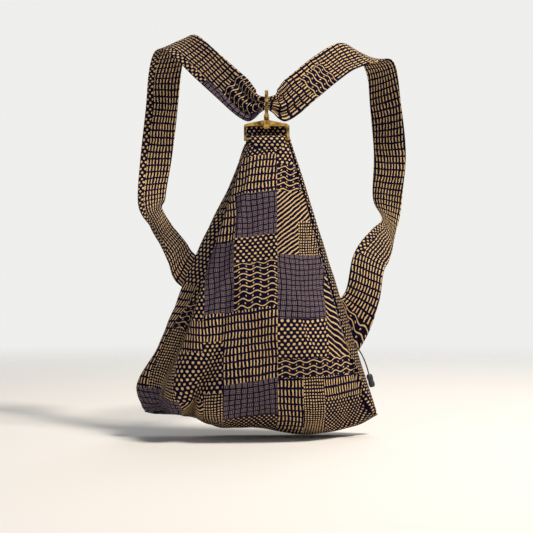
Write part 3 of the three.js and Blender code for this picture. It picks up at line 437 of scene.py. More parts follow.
# %% Creases of the panel
CREASES = [  # start, end, half width, height in millimetres
    ((0.475, 0.42), (0.575, 0.09), 0.026, -17), ((0.466, 0.64), (0.475, 0.42), 0.024, -5),
    ((0.545, 0.5), (0.635, 0.1), 0.045, 6), ((0.43, 0.36), (0.465, 0.08), 0.03, 4.5),
    ((0.715, 0.24), (0.72, 0.9), 0.042, -14), ((0.85, 0.2), (0.86, 0.75), 0.05, 3),
    ((0.28, 0.06), (0.2, 0.3), 0.045, 4), ((0.47, 0.66), (0.5, 0.92), 0.035, 2.5),
    ((0.5, 0.36), (0.555, 0.14), 0.012, 2.5), ((0.49, 0.5), (0.505, 0.3), 0.012, 2),
    ((0.36, 0.1), (0.33, 0.36), 0.03, -2.2), ((0.12, 0.14), (0.1, 0.36), 0.025, -2.5),
    ((0.52, 0.3), (0.6, 0.08), 0.012, 2.5), ((0.44, 0.28), (0.5, 0.06), 0.012, -2.5),
    ((0.712, 0.26), (0.716, 0.88), 0.016, -6), ((0.478, 0.44), (0.572, 0.1), 0.01, -5),
    ((0.505, 0.28), (0.59, 0.12), 0.012, -3.5),
]
COARSE, FINE = 1.6, 0.5  # heights of two layers of roughness, millimetres
SEAM_EASE, TOP_EASE = 0.06, 0.1  # shares of the panel over which all relief fades towards its seams


def smooth_step(value, reach):
    t = min(max(value / reach, 0), 1)
    return t * t * (3 - 2 * t)


def crease_at(across, up):
    height = 0
    for (ax, ay), (bx, by), width, tall in CREASES:
        along = ((across - ax) * (bx - ax) + (up - ay) * (by - ay)) / ((bx - ax) ** 2 + (by - ay) ** 2)
        along = min(max(along, 0), 1)
        apart = math.hypot(across - ax - (bx - ax) * along, up - ay - (by - ay) * along) / width
        shape = math.exp(-apart * apart) if tall > 0 else math.exp(-1.3 * apart)
        height += tall * shape * math.sin(math.pi * (0.12 + 0.76 * along))
    rough = noise.noise(Vector((across * 9, up * 6, 3.1))) * COARSE
    rough += noise.noise(Vector((across * 21, up * 15, 8))) * FINE
    edge = smooth_step(across, SEAM_EASE) * smooth_step(1 - across, SEAM_EASE)
    edge = edge * smooth_step(up, SEAM_EASE) * smooth_step(1 - up, TOP_EASE)
    return (height + rough) * edge


print("creases:", len(CREASES))

# %% [markdown]
# ## The front panel's mesh
# The panel itself starts as a flat grid. Each of its points takes its place from the net, and then moves
# along its own normal by the height of the creases there, as a sculpting brush would move it.

# %% Front panel mesh
PANEL_ACROSS, PANEL_UP, CLOTH = 128, 88, 2.4
TO_FRONT, EDGE_GAP = Vector((-0.33, -0.94, 0)), 0.7  # the edge beside the zip keeps clear of the slider
panel = bmesh.new()
cloth_uv = panel.loops.layers.uv.new("cloth")
bmesh.ops.create_grid(panel, x_segments=PANEL_ACROSS, y_segments=PANEL_UP, size=1)
climbs = {}
shares = {v: ((v.co.x + 1) / 2, (v.co.y + 1) / 2) for v in panel.verts}
for vert, (across, up) in shares.items():
    if round(up * PANEL_UP) not in climbs:
        climbs[round(up * PANEL_UP)] = [through(climb, up) for climb in net]
    spot = through(climbs[round(up * PANEL_UP)], across)
    if across < 1e-6:
        spot = right_edge(max(spot.z, RIGHT_CORNER.z)) + TO_FRONT * EDGE_GAP
    vert.co = spot
panel.normal_update()
flip = panel.faces[:][len(panel.faces) // 2].normal.y > 0
lifts = {v: v.normal * (crease_at(*shares[v]) * (-1 if flip else 1)) for v in panel.verts}
for vert, lift_by in lifts.items():
    vert.co += lift_by
if flip:
    bmesh.ops.reverse_faces(panel, faces=panel.faces)
print("front panel quads:", len(panel.faces), "flipped:", flip)

# %% [markdown]
# ## The print's place on the cloth
# The print follows the cloth, so each point's place on the flat cut is needed. Across, it is the length
# along its row from the bag's centre line. Up, it is the length climbed in the middle, and below the belly
# the length in its own column. The outer roll of the gusset is measured from the left seam instead, so its
# print runs along the slanting edge. A projection from the front would smear on the sides.

# %% Place on the flat cloth
grid = {}
for vert, (across, up) in shares.items():
    grid[round(across * PANEL_ACROSS), round(up * PANEL_UP)] = vert
flat = {}
CENTRE_LINE = 0.0
for row in range(PANEL_UP + 1):
    run, lengths = 0.0, [0.0]
    for column in range(PANEL_ACROSS):
        run += (grid[column + 1, row].co - grid[column, row].co).length
        lengths.append(run)
    searched = range(PANEL_ACROSS // 6, PANEL_ACROSS * 4 // 5)
    crossing = min(searched, key=lambda c: abs(grid[c, row].co.x - CENTRE_LINE))
    for column in range(PANEL_ACROSS + 1):
        sideways = lengths[crossing] - lengths[column] + grid[crossing, row].co.x
        if column < crossing:  # on the right the cloth is pulled, so its print is a little wider
            sideways = (sideways + grid[column, row].co.x) / 2
        flat[grid[column, row]] = [sideways, 0.0]
MIDDLE, BELLY_ROW = PANEL_ACROSS // 2, PANEL_UP // 3
PRINT_BASE, PRINT_SLANT = 64, 0.15  # where the print's rows start, and how they climb to the right
SLANT_LEFT, SLANT_RIGHT, SLANT_ZERO = -76, 13, -12  # places across where the climb starts, ends, is nought
climbs_to = {}
for column in range(PANEL_ACROSS + 1):
    steps = [(grid[column, row + 1].co - grid[column, row].co).length for row in range(PANEL_UP)]
    climbs_to[column] = [sum(steps[:row]) for row in range(PANEL_UP + 1)]
climbed = climbs_to[MIDDLE][PANEL_UP]
for row in range(PANEL_UP + 1):
    for column in range(PANEL_ACROSS + 1):
        slant = PRINT_SLANT * (min(max(flat[grid[column, row]][0], SLANT_LEFT), SLANT_RIGHT) - SLANT_ZERO)
        height = climbs_to[MIDDLE][row]
        if row < BELLY_ROW:
            height = climbs_to[MIDDLE][BELLY_ROW] + climbs_to[column][row] - climbs_to[column][BELLY_ROW]
        flat[grid[column, row]][1] = height - PRINT_BASE - slant
ROLL_SHARE, ROLL_EDGE = 0.73, -330
rolled = 0.0
for row in range(PANEL_UP + 1):
    if row:
        rolled += (grid[PANEL_ACROSS, row].co - grid[PANEL_ACROSS, row - 1].co).length
    inwards = 0.0
    for column in range(PANEL_ACROSS, int(ROLL_SHARE * PANEL_ACROSS), -1):
        flat[grid[column, row]] = [ROLL_EDGE + inwards, rolled]
        inwards += (grid[column, row].co - grid[column - 1, row].co).length
print("length of the left seam:", round(rolled))
lay_print(panel, cloth_uv, flat)
for vert in panel.verts:
    vert.co = (vert.co + Vector((0, 0, BASE_LINE))) * MM
SEAM_SHARE = 0.004  # points nearer than this to an edge are sewn
to_edge = [min(a, b, 1 - a, 1 - b) for a, b in (shares[vert] for vert in panel.verts)]
sewn_points = [number for number, share in enumerate(to_edge) if share < SEAM_SHARE]
front = piece("front_cloth", panel, "bag", "front_panel")
front.data.materials.append(bag_print)
print("cloth climbed in millimetres:", round(climbed, 1))

# %% [markdown]
# ## Settling
# Sewn cloth is never quite taut. A short cloth simulation lets the panel's own cut be a little larger than
# its frame of seams, so it buckles into small soft folds between the modelled creases. The seams stay
# pinned, and no point may go further than a few millimetres from the shape above.

# %% Settle the front cloth
SLACK, SETTLE_CAP, SETTLE_FRAMES = 0.006, 4.5, 10


def settle_cloth(cloth, sewn, slack, cap):
    group = cloth.vertex_groups.new(name="sewn")
    group.add(sewn, 1.0, "REPLACE")
    drape = cloth.modifiers.new("settle", "CLOTH")
    drape.settings.quality = 6
    drape.settings.mass = 0.2
    drape.settings.tension_stiffness = 80
    drape.settings.compression_stiffness = 80
    drape.settings.shear_stiffness = 12
    drape.settings.bending_stiffness = 2.0
    drape.settings.vertex_group_mass = "sewn"
    drape.settings.shrink_min = -slack
    drape.settings.effector_weights.gravity = 0.0
    drape.collision_settings.use_collision = False
    for step in range(1, SETTLE_FRAMES + 1):
        bpy.context.scene.frame_set(step)
    settled = cloth.evaluated_get(bpy.context.evaluated_depsgraph_get())
    spots = [vert.co.copy() for vert in settled.data.vertices]
    cloth.modifiers.remove(drape)
    bpy.context.scene.frame_set(1)
    moves = [spot - vert.co for vert, spot in zip(cloth.data.vertices, spots)]
    for vert, move in zip(cloth.data.vertices, moves):
        vert.co += move * min(1, cap * MM / max(move.length, 1e-9))
    lengths = sorted(move.length / MM for move in moves)
    held = sum(length > cap for length in lengths) / len(lengths)
    median = lengths[len(lengths) // 2]
    print(cloth.name, "settled by", round(median, 2), "mm at the median, share held back:", round(held, 3))


settle_cloth(front, sewn_points, SLACK, SETTLE_CAP)


def finish_cloth(cloth, thick, offset=-1):
    body = cloth.modifiers.new("thickness", "SOLIDIFY")
    body.thickness = thick * MM
    body.offset = offset
    soft = cloth.modifiers.new("soft", "SUBSURF")
    soft.levels = soft.render_levels = 1
    for face in cloth.data.polygons:
        face.use_smooth = True


finish_cloth(front, CLOTH)

# %% [markdown]
# ## Back panel
# The back lies flat, so it is one plain sheet of the same print. It is a grid between the left seam and the
# straight right edge, and its foot follows the curved bottom seam. A plane with cut corners would do, but
# the grid's foot meets the front panel's seam point by point.

# %% Back panel
BACK_TOP_LEFT, BACK_TOP_RIGHT = BAG_HEIGHT + 21, BAG_HEIGHT + 25
FREE_TOP = 0.05  # share of the back's rows that stands above the front
EDGE_X, EDGE_Z, EDGE_LEAN = 113, 93, 0.3155  # a point on the side band's rear edge, and the edge's lean
back = bmesh.new()
back_uv = back.loops.layers.uv.new("cloth")
bmesh.ops.create_grid(back, x_segments=40, y_segments=48, size=1)
for vert in back.verts:
    across, up = (vert.co.x + 1) / 2, (vert.co.y + 1) / 2
    climb = min(up / (1 - FREE_TOP), 1)
    left = through(net[-1], climb)
    left.z += max(up - (1 - FREE_TOP), 0) / FREE_TOP * (BACK_TOP_LEFT - BAG_HEIGHT)
    low_left = net[-1][0].z
    rise = BACK_TOP_RIGHT - RIGHT_CORNER.z
    right_z = RIGHT_CORNER.z + rise * (left.z - low_left) / (BACK_TOP_LEFT - low_left)
    right = Vector((EDGE_X - EDGE_LEAN * (right_z - EDGE_Z), SEAM_Y, right_z))
    seam_share = (1 - across) * SEAM_SHARES[-1]
    foot_x = RIGHT_REACH - (RIGHT_REACH + LEFT_REACH) * seam_share
    foot = Vector((foot_x, SEAM_Y, value_at(SEAM_HEIGHTS, seam_share)))
    sag = foot - through(net[-1], 0).lerp(RIGHT_CORNER, across)
    vert.co = left.lerp(right, across) + sag * (1 - up) ** 3
    vert.co.y = -CLOTH
lay_print(back, back_uv, {vert: (vert.co.x, vert.co.z) for vert in back.verts})
for vert in back.verts:
    vert.co = (vert.co + Vector((0, 0, BASE_LINE))) * MM
if back.faces[:][0].normal.y > 0:
    bmesh.ops.reverse_faces(back, faces=back.faces)
rear = piece("back_cloth", back, "bag", "back_panel")
rear.data.materials.append(bag_print)
finish_cloth(rear, CLOTH)
print("back panel quads:", len(rear.data.polygons))

# %% [markdown]
# ## Side band
# A strip of print runs from the zip back to the seam, and down to the lower right corner. In the zip's own
# directions it is a long flat triangle, so a grid is laid there and pulled a little outwards in the middle.
# Below the zip its front edge is tucked under the panel's edge, where the two are sewn together.

# %% Side band
zip_up = (ZIP_HEAD - ZIP_FOOT).normalized()
zip_out = (RIGHT_CORNER - ZIP_FOOT).cross(zip_up).normalized()
zip_across = zip_out.cross(zip_up).normalized()
ZIP_LENGTH, ZIP_GROOVE = (ZIP_HEAD - ZIP_FOOT).length, 8


def zip_point(along, across=0.0, out=0.0):
    return ZIP_FOOT + zip_up * along + zip_across * across + zip_out * out + Vector((0, 0, BASE_LINE))


def to_back(along):
    return (SEAM_Y - (ZIP_FOOT + zip_up * along).y) / zip_across.y


corner_along = (RIGHT_CORNER - ZIP_FOOT).dot(zip_up)
SEWN_OVER, SEWN_UNDER = 3.2, 2.0  # how far the band goes past the panel's edge, and how deep below it
SEWN_START, BAND_FLAT = 5, 0.75  # below the zip it bends in over this length, from this share of its width
edge_line = [spot - ZIP_FOOT for spot in curve_through(net[0], 600)]


def panel_edge(along):
    near = min(edge_line, key=lambda spot: abs(spot.dot(zip_up) - along))
    return near.dot(zip_across) + SEWN_OVER, near.dot(zip_out) - SEWN_UNDER


BAND_FOOT = 0.94  # the share of the way down to the corner where the band ends
BAND_BULGE, BAND_ROUGH, BAND_CLOTH, BAND_INSET, BAND_LEAST = 1.1, 0.5, 2.0, 1.0, 1
band = bmesh.new()
band_uv = band.loops.layers.uv.new("cloth")
bmesh.ops.create_grid(band, x_segments=8, y_segments=90, size=1)
band_places = {}
for vert in band.verts:
    share, up = (vert.co.x + 1) / 2, (vert.co.y + 1) / 2
    along = corner_along * BAND_FOOT + (ZIP_LENGTH - corner_along * BAND_FOOT) * up
    low = to_back(along) + BAND_INSET
    high, sunk = -ZIP_GROOVE, 0.0
    if along <= 0:
        sewn = smooth_step(-along, SEWN_START)
        edge, edge_out = panel_edge(along)
        high += (max(edge, low + BAND_LEAST) - high) * sewn
        sunk = edge_out * sewn * (max(share - BAND_FLAT, 0) / (1 - BAND_FLAT)) ** 2
    across = low + (high - low) * share
    out = BAND_BULGE * math.sin(math.pi * share) * smooth_step(1 - up, 0.1)
    out += noise.noise(Vector((along / 22, share * 2, 4))) * BAND_ROUGH
    out += sunk
    band_places[vert] = (across, along)
    vert.co = zip_point(along, across, out) * MM
lay_print(band, band_uv, band_places)
band.normal_update()
if band.faces[:][len(band.faces) // 2].normal.dot(zip_out) < 0:
    bmesh.ops.reverse_faces(band, faces=band.faces)
side = piece("side_cloth", band, "bag", "side_band")
edge_print = printed_cotton("printed_cotton_edges", [(100, [(400, SMALL_DOTS)])], -400, 400)
side.data.materials.append(edge_print)
finish_cloth(side, BAND_CLOTH)
print("side band quads:", len(side.data.polygons))

# %% [markdown]
# ## Fold over the clip's bar
# The top of the cloth is turned over the bar and sewn down behind it. It could be simulated round the bar,
# but seen from the side it is one smooth hairpin, and that curve swept sideways is sure to keep clear of it.
# In front it lies on the panel below, so its front layer follows the panel's curve from side to side.

# %% Fold over the bar
CLIP_Y, BAR_HEIGHT = -14, BAG_HEIGHT + 4
HAIRPIN = [(-28.2, 338), (-28, 346), (-26.8, 352.5), (-22.5, 358.6), (-15.5, 361.6), (-10.4, 359.4),
           (-9.0, 353), (-8.8, 344), (-8.8, 332)]  # depth and height, millimetres
FOLD_HALF, FOLD_MIDDLE, FOLD_CLOTH = 22.5, 0.5, 1.6
FRONT_LAYER, FRONT_GAP = -27.8, 2.6  # the front layer's place in the hairpin, and its gap to the panel
LEAST_DEPTH = 0.42  # at the sides it is pushed back to this share of its depth at most
FOLD_LENGTH, FOLD_RIPPLE, FOLD_CROWN = 62, 0.5, 0.209  # the crown's height is in metres
top_row = curve_through([climb[-1] for climb in net], 60)
hairpin = [Vector((0, y, z)) for y, z in HAIRPIN]
fold = bmesh.new()
fold_uv = fold.loops.layers.uv.new("cloth")
bmesh.ops.create_grid(fold, x_segments=24, y_segments=36, size=1)
fold_places = {}
for vert in fold.verts:
    x_now, down = vert.co.x * FOLD_HALF + FOLD_MIDDLE, (vert.co.y + 1) / 2
    spot = through(hairpin, down)
    panel_y = min(top_row, key=lambda p: abs(p.x - x_now)).y
    if spot.y < CLIP_Y:
        depth = (panel_y - FRONT_GAP - CLIP_Y) / (FRONT_LAYER - CLIP_Y)
        spot.y = CLIP_Y + (spot.y - CLIP_Y) * min(max(depth, LEAST_DEPTH), 1)
    spot.y += FOLD_RIPPLE * math.sin(x_now * 0.6) * smooth_step(abs(down - 0.45), 0.3)
    fold_places[vert] = (x_now, BAG_HEIGHT - down * FOLD_LENGTH)
    vert.co = Vector((x_now, spot.y, spot.z + BASE_LINE)) * MM
lay_print(fold, fold_uv, fold_places)
fold.normal_update()
if sum(face.normal.z for face in fold.faces if face.calc_center_median().z > FOLD_CROWN) < 0:
    bmesh.ops.reverse_faces(fold, faces=fold.faces)
tab = piece("fold_cloth", fold, "bag", "top_tab")
fold_print = printed_cotton("printed_cotton_fold", [(400, [(400, BIG_DOTS)])], 0, 400)
tab.data.materials.append(fold_print)
finish_cloth(tab, FOLD_CLOTH)
print("fold quads:", len(tab.data.polygons))

# %% [markdown]
# ## Shoulder strap
# One long flat tube of print runs from a lower edge of the bag, forward, up and over, through the hook and
# back the other way. Webbing like this is laid directly: a narrow grid follows the route, stop by stop, and
# its width turns as the strap does. Where the hook gathers it, the cloth stands in lengthwise pleats.

# %% Strap route
STRAP_WIDTH, STRAP_REACH, STRAP_BULGE, STRAP_CLOTH = 44, 168, 205, 2.6
HOOK_RISE, GATHER_SAG, GATHER_BACK = 47, 2.8, 4.5  # where the hook holds the strap, from the clip's bar
GATHER_WIDTH = 15  # the strap's width there
END_LAP, END_Y = 3, -1.2  # the sewn ends go this far inside the bag's edge, within the back's cloth
gather = Vector((0, CLIP_Y + GATHER_BACK, BAR_HEIGHT + HOOK_RISE - GATHER_SAG))
LEFT_END = (0.49 * BAG_HEIGHT, 0.6 * BAG_HEIGHT)  # the heights between which each end is sewn on
RIGHT_END = (0.27 * BAG_HEIGHT, 0.45 * BAG_HEIGHT)
STRAP_DROP = gather.z - 0.3725 * BAG_HEIGHT
# Each stop has its place from the gather in shares of reach, bulge and drop, then the way its width runs and
# its share of the full width.
RIGHT_ROUTE = [
    ((0.054, 0.002, -0.004), (0.12, 0, 1), 0.5), ((0.107, 0.02, -0.007), (-0.2, 0, 1), 0.95),
    ((0.244, 0.078, 0.067), (-0.69, 0.05, 0.72), 1), ((0.435, 0.205, 0.174), (-0.68, 0.1, 0.7), 1),
    ((0.613, 0.371, 0.256), (-0.62, 0.25, 0.72), 1), ((0.768, 0.527, 0.274), (-0.75, 0.55, 0.4), 1),
    ((0.893, 0.712, 0.234), (-0.8, 0.5, -0.15), 1), ((0.952, 0.907, 0.074), (-0.85, 0.35, -0.2), 1),
    ((1, 1.01, -0.167), (-0.95, 0.2, 0), 1), ((0.97, 0.927, -0.4), (-0.85, 0.5, 0.15), 1),
    ((0.955, 0.683, -0.55), (-0.3, 0.7, 0.6), 1), ((0.872, 0.41, -0.627), (-0.55, 0.35, 0.75), 1),
    ((0.757, 0.185, -0.727), (-0.85, -0.15, 0.4), 1), ((0.705, 0.092, -0.875), (-0.9, 0, 0.4), 1),
]
LEFT_ROUTE = [
    ((-0.054, 0.002, -0.004), (-0.12, 0, 1), 0.5), ((-0.107, 0.02, -0.007), (0.2, 0, 1), 0.95),
    ((-0.25, 0.083, 0.074), (0.69, 0.05, 0.72), 1), ((-0.446, 0.205, 0.193), (0.74, 0.1, 0.66), 1),
    ((-0.625, 0.361, 0.304), (0.82, 0.15, 0.55), 1), ((-0.726, 0.546, 0.326), (0.9, 0.1, 0.3), 1),
    ((-0.798, 0.771, 0.237), (0.95, 0.15, 0.1), 1), ((-0.845, 0.946, 0.044), (0.97, 0.2, 0), 1),
    ((-0.893, 0.995, -0.193), (0.95, 0.3, 0), 1), ((-0.917, 0.878, -0.408), (0.8, 0.55, 0.2), 1),
    ((-0.862, 0.644, -0.5), (0.3, 0.75, 0.55), 1), ((-0.765, 0.4, -0.585), (0.3, 0.72, 0.55), 1),
    ((-0.665, 0.2, -0.672), (0.42, 0.6, 0.6), 1), ((-0.61, 0.085, -0.735), (0.45, 0.35, 0.75), 1),
]


def left_seam(height):
    return min(curve_through(net[-1], 300), key=lambda p: abs(p.z - height))


def strap_end(low, high, sign):
    along = high - low
    off = Vector((sign * abs(along.z), 0, abs(along.x))).normalized()
    middle = (low + high) / 2 - off * END_LAP
    return Vector((middle.x, END_Y, middle.z)), along.normalized(), along.length


def right_back(height):
    along = (height - ZIP_FOOT.z) / zip_up.z
    return ZIP_FOOT + zip_up * along + zip_across * to_back(along)


def stop_of(place, wide, width):
    middle = Vector((place[0] * STRAP_REACH, place[1] * STRAP_BULGE, place[2] * STRAP_DROP)) + gather
    return middle, Vector(wide).normalized(), width * STRAP_WIDTH


stops = [strap_end(left_seam(LEFT_END[0]), left_seam(LEFT_END[1]), -1)]
stops += [stop_of(*stop) for stop in reversed(LEFT_ROUTE)]
stops += [(gather, Vector((0, 0, 1)), GATHER_WIDTH)]
stops += [stop_of(*stop) for stop in RIGHT_ROUTE]
stops += [strap_end(right_back(RIGHT_END[0]), right_back(RIGHT_END[1]), 1)]
STRAP_STEPS, STRAP_STRANDS = 330, 18
middles = curve_through([stop[0] for stop in stops], STRAP_STEPS)
wides = [wide.normalized() for wide in curve_through([stop[1] for stop in stops], STRAP_STEPS)]
widths = [width.x for width in curve_through([Vector((stop[2], 0, 0)) for stop in stops], STRAP_STEPS)]
walked = [0.0]
for before, after in zip(middles, middles[1:]):
    walked.append(walked[-1] + (after - before).length)
hook_at = walked[min(range(STRAP_STEPS + 1), key=lambda k: (middles[k] - gather).length)]
lefts, rights = -hook_at, walked[-1] - hook_at
print("strap length in millimetres:", round(walked[-1]), "left of the hook:", round(hook_at))

# %% [markdown]
# ## Strap cloth
# The strap's cloth is a narrow grid along that route. It ripples a little, its edges stand up, and near the
# hook it is pleated, as a flat tube is when a ring holds it. Sums put the pleats where they are wanted,
# which a simulation of so narrow a band would not.

# %% Strap cloth
PLEATS, PLEAT_IN_HOOK, PLEAT_MORE = 2.5, 1.1, 1.9  # how many, their height in the hook, the gain beside it
PLEAT_START, PLEAT_FADE, PLEAT_RISE = 14, 85, 22  # lengths along the strap from the hook
RIPPLE, HOLLOW, FLAT_REACH = 2.2, 1.6, 60  # both fade within this length of the hook and of the sewn ends
strap = bmesh.new()
strap_uv = strap.loops.layers.uv.new("cloth")
bmesh.ops.create_grid(strap, x_segments=STRAP_STRANDS, y_segments=STRAP_STEPS, size=1)
strap_places = {}
for vert in strap.verts:
    side_share, k = vert.co.x, round((vert.co.y + 1) / 2 * STRAP_STEPS)
    ahead = middles[min(k + 1, STRAP_STEPS)] - middles[max(k - 1, 0)]
    out = ahead.cross(wides[k]).normalized()
    away = abs(walked[k] - hook_at)
    ends = smooth_step(min(walked[k], walked[-1] - walked[k]), FLAT_REACH)
    free = smooth_step(away, FLAT_REACH)
    tall = PLEAT_IN_HOOK + PLEAT_MORE * smooth_step(away, PLEAT_RISE)
    pleat = math.cos(math.pi * PLEATS * (side_share + 0.1)) * tall
    pleat *= 1 - smooth_step(away - PLEAT_START, PLEAT_FADE)
    ripple = noise.noise(Vector((walked[k] / 55, side_share * 0.9, 2))) * RIPPLE * free * ends
    hollow = (side_share ** 2 - 0.4) * HOLLOW * ends * free
    strap_places[vert] = (side_share * STRAP_WIDTH / 2, walked[k] - hook_at)
    spot = middles[k] + wides[k] * (side_share * widths[k] / 2) + out * (pleat + ripple + hollow)
    vert.co = (spot + Vector((0, 0, BASE_LINE))) * MM
lay_print(strap, strap_uv, strap_places)
band_piece = piece("strap_cloth", strap, "bag", "shoulder_strap")
strap_print = printed_cotton("printed_cotton_strap", [
    (-13, [(lefts + 70, BARS), (-88, BIG_DOTS), (-12, BASKET), (60, BARS), (105, WAVES), (rights - 28, BARS),
           (800, WAVES)]),
    (12, [(-68, BARS), (0, WAVES), (58, BARS), (102, WAVES), (rights - 28, BARS), (800, WAVES)]),
    (50, [(-68, BARS), (0, WAVES), (40, SQUARES), (rights - 190, BARS), (rights - 100, BIG_DOTS),
          (rights - 28, BARS), (800, WAVES)]),
], -800, 800)
band_piece.data.materials.append(strap_print)
finish_cloth(band_piece, STRAP_CLOTH, offset=0)
print("strap quads:", len(band_piece.data.polygons))

# %% [markdown]
# ## Zip
# A coil zip on two woven tapes. The tapes are thin ribbons with rounded edges. A thin box would do for the
# rear one, but a narrow grid can also dip under the panel's curve, as the front one does. The teeth, the
# slider and the stops keep their solids, because they are hard and true to size.

# %% Zip tapes
# Woven polyester tape: a dull ribbed ribbon, darker than the teeth.
tape_grey, tape_tree, tape_shader = new_material("woven_polyester_tape")
tape_place = add(tape_tree, "TexCoord", {})
ribs = add(tape_tree, "TexWave", {"bands_direction": "DIAGONAL"}, tape_place.outputs["Object"], Scale=420.0)
rib_relief = add(tape_tree, "Bump", {}, 0.3, 0.0003, Height=ribs.outputs["Fac"])
tape_tree.links.new(rib_relief.outputs[0], tape_shader.inputs["Normal"])
tape_shader.inputs["Base Color"].default_value = linear("#77737c")
tape_shader.inputs["Roughness"].default_value = 0.9
TAPE_TOP, TAPE_WIDTH, TAPE_CLOTH, ZIP_MIDDLE = -3.4, 4.2, 0.9, -4


def ribbon(name, low, high, start, end, node, tilt=0.0):
    made = bmesh.new()
    bmesh.ops.create_grid(made, x_segments=3, y_segments=70, size=1)
    for vert in made.verts:
        across = low + (high - low) * (vert.co.x + 1) / 2
        along = start + (end - start) * (vert.co.y + 1) / 2
        vert.co = zip_point(along, across, TAPE_TOP - tilt * (vert.co.x + 1) / 2) * MM
    made.normal_update()
    if made.faces[:][0].normal.dot(zip_out) < 0:
        bmesh.ops.reverse_faces(made, faces=made.faces)
    cloth = piece(name, made, "bag", node)
    cloth.data.materials.append(tape_grey)
    finish_cloth(cloth, TAPE_CLOTH)
    return cloth


TEETH_WIDTH, TEETH_CLEARANCE, TAPE_INSET = 3.2, 0.3, 2  # millimetres
TAPE_TILT = 2.6  # the front tape dips under the panel's curve
near_edge = TEETH_WIDTH / 2 + TEETH_CLEARANCE
tape_ends = (TAPE_INSET, ZIP_LENGTH - TAPE_INSET)
tape_front = ribbon("tape_front", ZIP_MIDDLE + near_edge, ZIP_MIDDLE + near_edge + TAPE_WIDTH, *tape_ends,
                    "zip_tape_front", TAPE_TILT)
tape_rear = ribbon("tape_rear", ZIP_MIDDLE - near_edge - TAPE_WIDTH, ZIP_MIDDLE - near_edge, *tape_ends,
                   "zip_tape_rear")
low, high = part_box("zip_tape_end")
stub = bmesh.new()
bmesh.ops.create_cube(stub, size=1)
for vert in stub.verts:
    vert.co = [low[k] + (high[k] - low[k]) * (vert.co[k] + 0.5) for k in range(3)]
bmesh.ops.bevel(stub, geom=stub.edges, offset=0.0005, offset_type="OFFSET", segments=2, profile=0.5,
                affect="EDGES", material=-1)
tape_end = piece("tape_end", stub, "bag", "zip_tape_end")
tape_end.data.materials.append(tape_grey)

# %% [markdown]
# ## Metal, teeth and pull
# The clip is cast brass with an aged finish: warm where it is rubbed, brown in the hollows. The teeth are
# nylon, and the pull is black rubber. The metal and the teeth keep their solids, so only their slots get a
# material here. A new mesh would add nothing to pieces that are already true to size.

# %% Hard materials
BROWN_PATINA, RUBBED_BRASS = "#3f2d14", "#cfa55a"
# Cast brass, aged: warm metal with brown patches of about 6 mm, soft highlights and an uneven skin.
brass, brass_tree, brass_shader = new_material("antique_brass")
brass_place = add(brass_tree, "TexCoord", {})
patches = add(brass_tree, "TexNoise", {}, brass_place.outputs["Object"], Scale=160.0, Detail=4.0)
rubbed = add(brass_tree, "MapRange", {}, patches.outputs[0], 0.35, 0.68, 0.0, 1.0)
aged = add(brass_tree, "MixRGB", {}, rubbed, linear(BROWN_PATINA), linear(RUBBED_BRASS))
dulled = add(brass_tree, "MapRange", {}, patches.outputs[0], 0.3, 0.7, 0.45, 0.22)
brass_tree.links.new(aged.outputs[0], brass_shader.inputs["Base Color"])
brass_tree.links.new(dulled.outputs[0], brass_shader.inputs["Roughness"])
cast = add(brass_tree, "Bump", {}, 0.5, 0.0004, Height=patches.outputs[0])
brass_tree.links.new(cast.outputs[0], brass_shader.inputs["Normal"])
brass_shader.inputs["Metallic"].default_value = 1.0
# Moulded nylon: a slightly shiny grey line along the edge.
nylon, _, nylon_shader = new_material("grey_nylon_teeth")
nylon_shader.inputs["Base Color"].default_value = linear("#8f8b90")
nylon_shader.inputs["Roughness"].default_value = 0.45
# Moulded rubber: near black with a soft sheen.
rubber, _, rubber_shader = new_material("black_moulded_rubber")
rubber_shader.inputs["Base Color"].default_value = linear("#19181a")
rubber_shader.inputs["Roughness"].default_value = 0.55
for names, material in ((("clip_loop", "swivel_washer", "hook_body", "hook_gate", "gate_pin", "gate_spring",
                          "zip_slider", "zip_bottom_stop", "zip_top_stop"), brass), (("zip_teeth",), nylon)):
    for name in names:
        for slot in nodes[name].material_slots:
            slot.link = "OBJECT"
            slot.material = material
print("hard materials:", brass.name, nylon.name, rubber.name)

# %% [markdown]
# ## Pull
# A short stiff cord bows out of the slider's bail and ends in a moulded grip. The cord is a curve with a
# round bevel, which keeps its thickness however it bends. The grip is a profile spun round its own length.

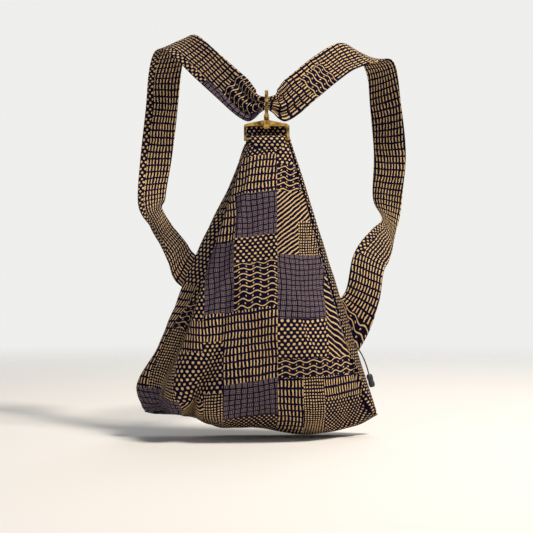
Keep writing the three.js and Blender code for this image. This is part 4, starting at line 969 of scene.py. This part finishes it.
# %% Pull cord and grip
BAIL_TOP, SLIDER_REST, CORD_WIDE = 4.0, 16, 1.6
CORD_ROUTE = [(0, 0.6), (-2, 3.6), (-6.5, 7), (-13, 9.2), (-21, 10.8), (-30, 11.6), (-40, 11.6)]
cord_line = curve_through([Vector((a, b, 0)) for a, b in CORD_ROUTE], 24)
cord_points = [zip_point(SLIDER_REST + p.x, ZIP_MIDDLE, BAIL_TOP + p.y) * MM for p in cord_line]
cord_curve = bpy.data.curves.new("pull_cord_line", "CURVE")
cord_curve.dimensions = "3D"
line = cord_curve.splines.new("POLY")
line.points.add(len(cord_points) - 1)
for point, spot in zip(line.points, cord_points):
    point.co = (*spot, 1)
line.points[0].radius = 0.55  # thinner where it is tied to the bail
cord_curve.bevel_depth = CORD_WIDE / 2 * MM
cord_curve.bevel_resolution = 4
cord_curve.use_fill_caps = True
pull = bpy.data.objects.new("pull_cord_soft", cord_curve)
bpy.context.scene.collection.objects.link(pull)
cord_curve.materials.append(rubber)
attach(pull, "pull")
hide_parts("pull_cord")

GRIP_LONG, GRIP_WIDE, GRIP_THICK = 16, 8.6, 7.4
GRIP_START, GRIP_OUT = 40.3, 11.6  # from the slider down to the grip, and from the bail out to its middle
GRIP = [(0, 0), (0.6, 0), (0.92, 0.1), (1, 0.28), (0.86, 0.5), (0.98, 0.74), (0.8, 0.95), (0.45, 1), (0, 1)]
knob = bmesh.new()
outline = [Vector((r * GRIP_WIDE / 2, 0, a * GRIP_LONG)) for r, a in GRIP]
turned = curve_through(outline, 32)
profile = [knob.verts.new((max(p.x, 0), 0, p.z)) for p in turned]
rim = [knob.edges.new(pair) for pair in zip(profile, profile[1:])]
bmesh.ops.spin(knob, geom=profile + rim, cent=(0, 0, 0), axis=(0, 0, 1), angle=2 * math.pi, steps=24,
               use_merge=True)
bmesh.ops.remove_doubles(knob, verts=knob.verts, dist=1e-5)
for vert in knob.verts:
    along, across, out = vert.co.z, vert.co.x, vert.co.y * GRIP_THICK / GRIP_WIDE
    vert.co = zip_point(SLIDER_REST - GRIP_START - along, ZIP_MIDDLE + across,
                        BAIL_TOP + GRIP_OUT + out) * MM
bmesh.ops.recalc_face_normals(knob, faces=knob.faces)
for face in knob.faces:
    face.smooth = True
grip = piece("pull_grip_soft", knob, "pull", "pull_grip")
grip.data.materials.append(rubber)
